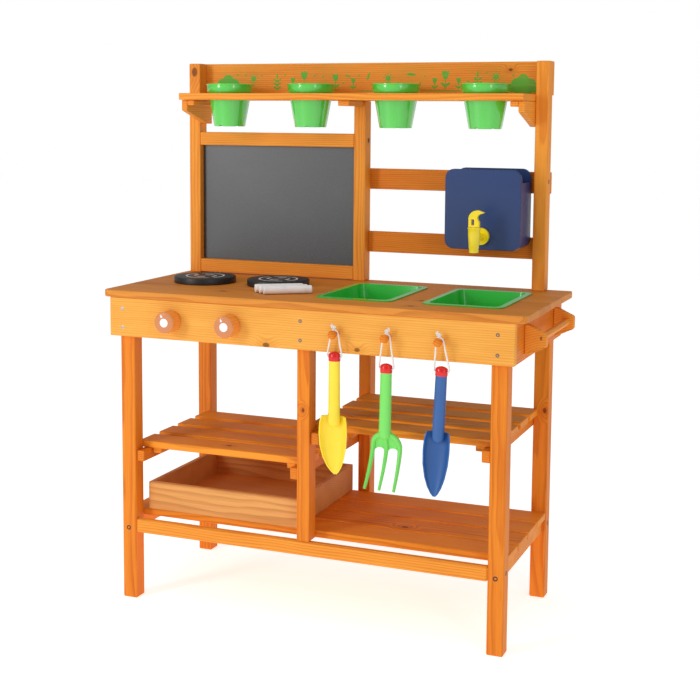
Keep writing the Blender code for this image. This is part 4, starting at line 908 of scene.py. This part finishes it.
CHALK_RADIUS = 8.2


def make_chalk():
    """Three soft-edged chalk sticks side by side."""
    profile = [(6.9, -47.5), (7.7, -46.9), (8.15, -45.9), (CHALK_RADIUS, -44.0), (8.1, 44.0), (8.05, 45.9),
               (7.6, 46.9), (6.8, 47.5)]
    turn = Matrix.Rotation(math.radians(33.7), 4, "Z")
    centre = Matrix.Translation(at(321.0, 87.0, WORKTOP + SEAT_GAP + CHALK_RADIUS))
    lay = Matrix.Rotation(math.radians(90), 4, "Y")
    sticks = []
    for i in range(3):
        shift = Matrix.Translation((-i * 6.0 * MM, (i - 1) * 15.4 * MM, 0))
        sticks.append(smooth(stand(turned(profile, 32), centre @ turn @ shift @ lay), 40))
    pack = joined(sticks, "chalk_sticks")
    name_it(pack, "chalk_sticks", chalk_white("chalk"))
    keep(pack, "chalk_pack", "chalk_pack", slot="chalk_white")


make_sinks()
make_hobs()
make_chalk()
finish_with(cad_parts["chalkboard_panel"], slate("writing_slate"))


# ---------------------------------------------------------------- tank, tap and tools
def make_tank():
    navy = moulded("tank_plastic", srgb(22, 54, 110), 0.4, 240.0, 0.0001, 0.1)
    keep(merged_copy("water_tank", "tank_shell", navy, 40), "tank", "water_tank", slot="tank_navy")
    yellow = moulded("tap_plastic", srgb(255, 228, 24), 0.24, 240.0, 0.00006, 0.2, 0.94)
    keep(merged_copy("tap_body", "tap_barrel", yellow, 35), "tank", "tap_body", slot="tap_yellow")
    keep(merged_copy("tap_lever", "tap_handle", yellow, 30), "tap_lever", "tap_lever", slot="tap_yellow")


def make_tools():
    colours = (srgb(253, 222, 50), srgb(118, 222, 96), srgb(40, 92, 158))
    slots = ("tool_yellow", "tool_green", "tool_blue")
    for number, node in enumerate(TOOLS):
        paint = tool_paint(f"{node}_paint", colours[number], number)
        keep(merged_copy(node, f"{node}_body", paint, 42), TOOL_BODIES[number], node, slot=slots[number])


make_tank()
make_tools()


# ---------------------------------------------------------------- stencilled header board
HEADER_FACE = 353.6
GROUND = 1026                              # where the flowers stand
COATS = itertools.count()                  # each spot is a hair thicker than the last, so none coincide


def flat_disc(x, z, across, high, turn=0.0, sides=20, tips=1.0):
    """A painted spot on the front of the header board; tips under 1 draw it out to a leaf."""
    bpy.ops.mesh.primitive_circle_add(vertices=sides, radius=1.0, fill_type="NGON", location=(0, 0, 0))
    piece = bpy.context.object
    edit(piece)
    bpy.ops.mesh.select_all(action="SELECT")
    bpy.ops.transform.resize(value=(across * MM, high * MM, 1.0), center_override=(0, 0, 0))
    if tips < 1.0:
        done()
        for point in piece.data.vertices:
            point.select = abs(point.co.y) > high * 0.7 * MM
        bpy.ops.object.mode_set(mode="EDIT")
        bpy.ops.transform.resize(value=(tips, 1.12, 1.0), center_override=(0, 0, 0))
        bpy.ops.mesh.select_all(action="SELECT")
    thick = (0.12 + 0.0012 * next(COATS)) * MM
    bpy.ops.mesh.extrude_region_move(TRANSFORM_OT_translate={"value": (0, 0, thick)})
    done()
    outward(piece)
    lean = Matrix.Rotation(math.radians(turn), 4, "Z")
    return stand(piece, facing(FRONT, x, HEADER_FACE, z) @ FRONT_UP @ lean)


def leaf(x, z, length, turn, width=0.42):
    """A pointed leaf, length millimetres from tip to tip."""
    return flat_disc(x, z, length * width, length * 0.45, turn, 14, 0.4)


def tulip(x, z, high):
    """Stem, two leaves and a cup of three petals."""
    made = [flat_disc(x, z + high * 0.3, 0.9, high * 0.36, 0, 8)]
    made += [leaf(x + hand * 4.0, z + high * 0.27, high * 0.4, -hand * 50) for hand in (-1, 1)]
    return made + [leaf(x + shift, z + high * 0.8, high * 0.48, turn, 0.4)
                   for shift, turn in ((-high * 0.1, 14), (0, 0), (high * 0.1, -14))]


def daisy(x, z, size):
    """A round middle and a ring of small petals, on a short stalk."""
    made = [flat_disc(x, z, size * 0.62, size * 0.62), flat_disc(x, z - size * 1.4, 0.7, size * 0.7, 0, 8)]
    out = size * 0.95
    for i in range(9):
        a = 2 * math.pi * i / 9
        made.append(leaf(x + math.sin(a) * out, z + math.cos(a) * out, size * 0.55, -math.degrees(a)))
    return made


def bush(x, z, wide):
    """A clump of overlapping rounds."""
    spots = ((0, 0.5, 0.26), (-0.26, 0.3, 0.3), (0.3, 0.3, 0.28), (-0.62, 0.08, 0.26), (0.62, 0.08, 0.28),
             (0, 0.1, 0.5))
    return [flat_disc(x + sx * wide, z + sz * wide, r * wide, r * wide * 0.8) for sx, sz, r in spots]


def sprig(x, z, high):
    """A stalk with three pairs of leaves and one at its tip."""
    made = [flat_disc(x, z + high * 0.42, 0.9, high * 0.44, 0, 8)]
    for i in range(3):
        up = z + high * (0.2 + 0.25 * i)
        made += [leaf(x + hand * 4.4, up, high * 0.34, -hand * 54) for hand in (-1, 1)]
    return made + [leaf(x, z + high * 0.98, high * 0.36, 0)]


LOOSE_LEAVES = ((340, 1055, 13, 80), (365, 1056, 7, -35), (386, 1054, 17, -20), (480, 1058, 20, 86),
                (696, 1056, 8, -30), (276, 1034, 10, 60), (475, 1030, 9, 30), (288, 1030, 8, -60))
DOTS = ((82, 1058), (102, 1058), (140, 1056), (196, 1058), (264, 1056), (284, 1054), (330, 1040), (406, 1037),
        (452, 1040), (500, 1040), (510, 1054), (602, 1044), (640, 1060), (684, 1034))


def print_header():
    """Bushes, flowers, sprigs and loose leaves along the board, over a thin ground line."""
    made = bush(60, GROUND, 46) + bush(716, GROUND, 44)
    made += daisy(121, 1050, 9) + sprig(177, 1024, 32)
    for x, high in ((214, 26), (240, 38), (312, 32), (352, 24)):
        made += tulip(x, GROUND, high)
    made += daisy(430, 1050, 9)
    for x, high in ((531, 24), (554, 38), (582, 24)):
        made += tulip(x, GROUND, high)
    made += sprig(622, 1024, 34) + daisy(660, 1052, 9)
    made += [leaf(x, z, size, turn, 0.34) for x, z, size, turn in LOOSE_LEAVES]
    made += [flat_disc(x, z, 1.8, 2.0, 0, 10) for x, z in DOTS]
    made += [flat_disc(x, 1024.5, 60, 1.0, turn) for x, turn in ((260, 1.0), (420, 0.0), (560, -1.0))]
    art = joined(made, "header_stencil")
    name_it(art, "header_stencil", stencil_ink("stencil_paint", srgb(92, 176, 44)))
    keep(art, ON_BENCH)


print_header()


# ---------------------------------------------------------------- studio
STUDIO_AIM = (0.0, 0.0, 0.6)


def add_light(name, place, size, power, tall):
    """A soft panel, size wide and tall in metres, power in watts, aimed at the bench."""
    data = bpy.data.lights.new(name, "AREA")
    data.shape = "RECTANGLE"
    data.size, data.size_y = size, tall
    data.energy = power
    lamp = bpy.data.objects.new(name, data)
    scene.collection.objects.link(lamp)
    lamp.location = place
    lamp.rotation_euler = (Vector(STUDIO_AIM) - Vector(place)).to_track_quat("-Z", "Y").to_euler()


def set_studio():
    """A pale floor, a soft white room and three panels."""
    bpy.ops.mesh.primitive_plane_add(size=30.0, location=(0, 0, 0))
    floor = bpy.context.object
    name_it(floor, "studio_floor", studio_floor("pale_floor"))
    world = bpy.data.worlds.new("studio")
    scene.world = world
    world.use_nodes = True
    tree = world.node_tree
    sky = tree.nodes["Background"]
    sky.inputs["Color"].default_value = (1.0, 1.0, 1.0, 1.0)
    sky.inputs["Strength"].default_value = 0.42
    seen = tree.nodes.new("ShaderNodeBackground")
    seen.inputs["Color"].default_value = (1.0, 1.0, 1.0, 1.0)
    seen.inputs["Strength"].default_value = 1.0
    path = tree.nodes.new("ShaderNodeLightPath")
    pick = tree.nodes.new("ShaderNodeMixShader")
    tree.links.new(path.outputs["Is Camera Ray"], pick.inputs[0])
    tree.links.new(sky.outputs[0], pick.inputs[1])
    tree.links.new(seen.outputs[0], pick.inputs[2])
    tree.links.new(pick.outputs[0], tree.nodes["World Output"].inputs["Surface"])
    add_light("key", (-1.78, -2.5, 1.45), 0.6, 30, 1.6)
    add_light("fill", (2.1, -2.1, 1.4), 0.5, 9, 1.8)
    add_light("top", (0.0, -0.6, 3.2), 2.4, 16, 2.4)


set_studio()
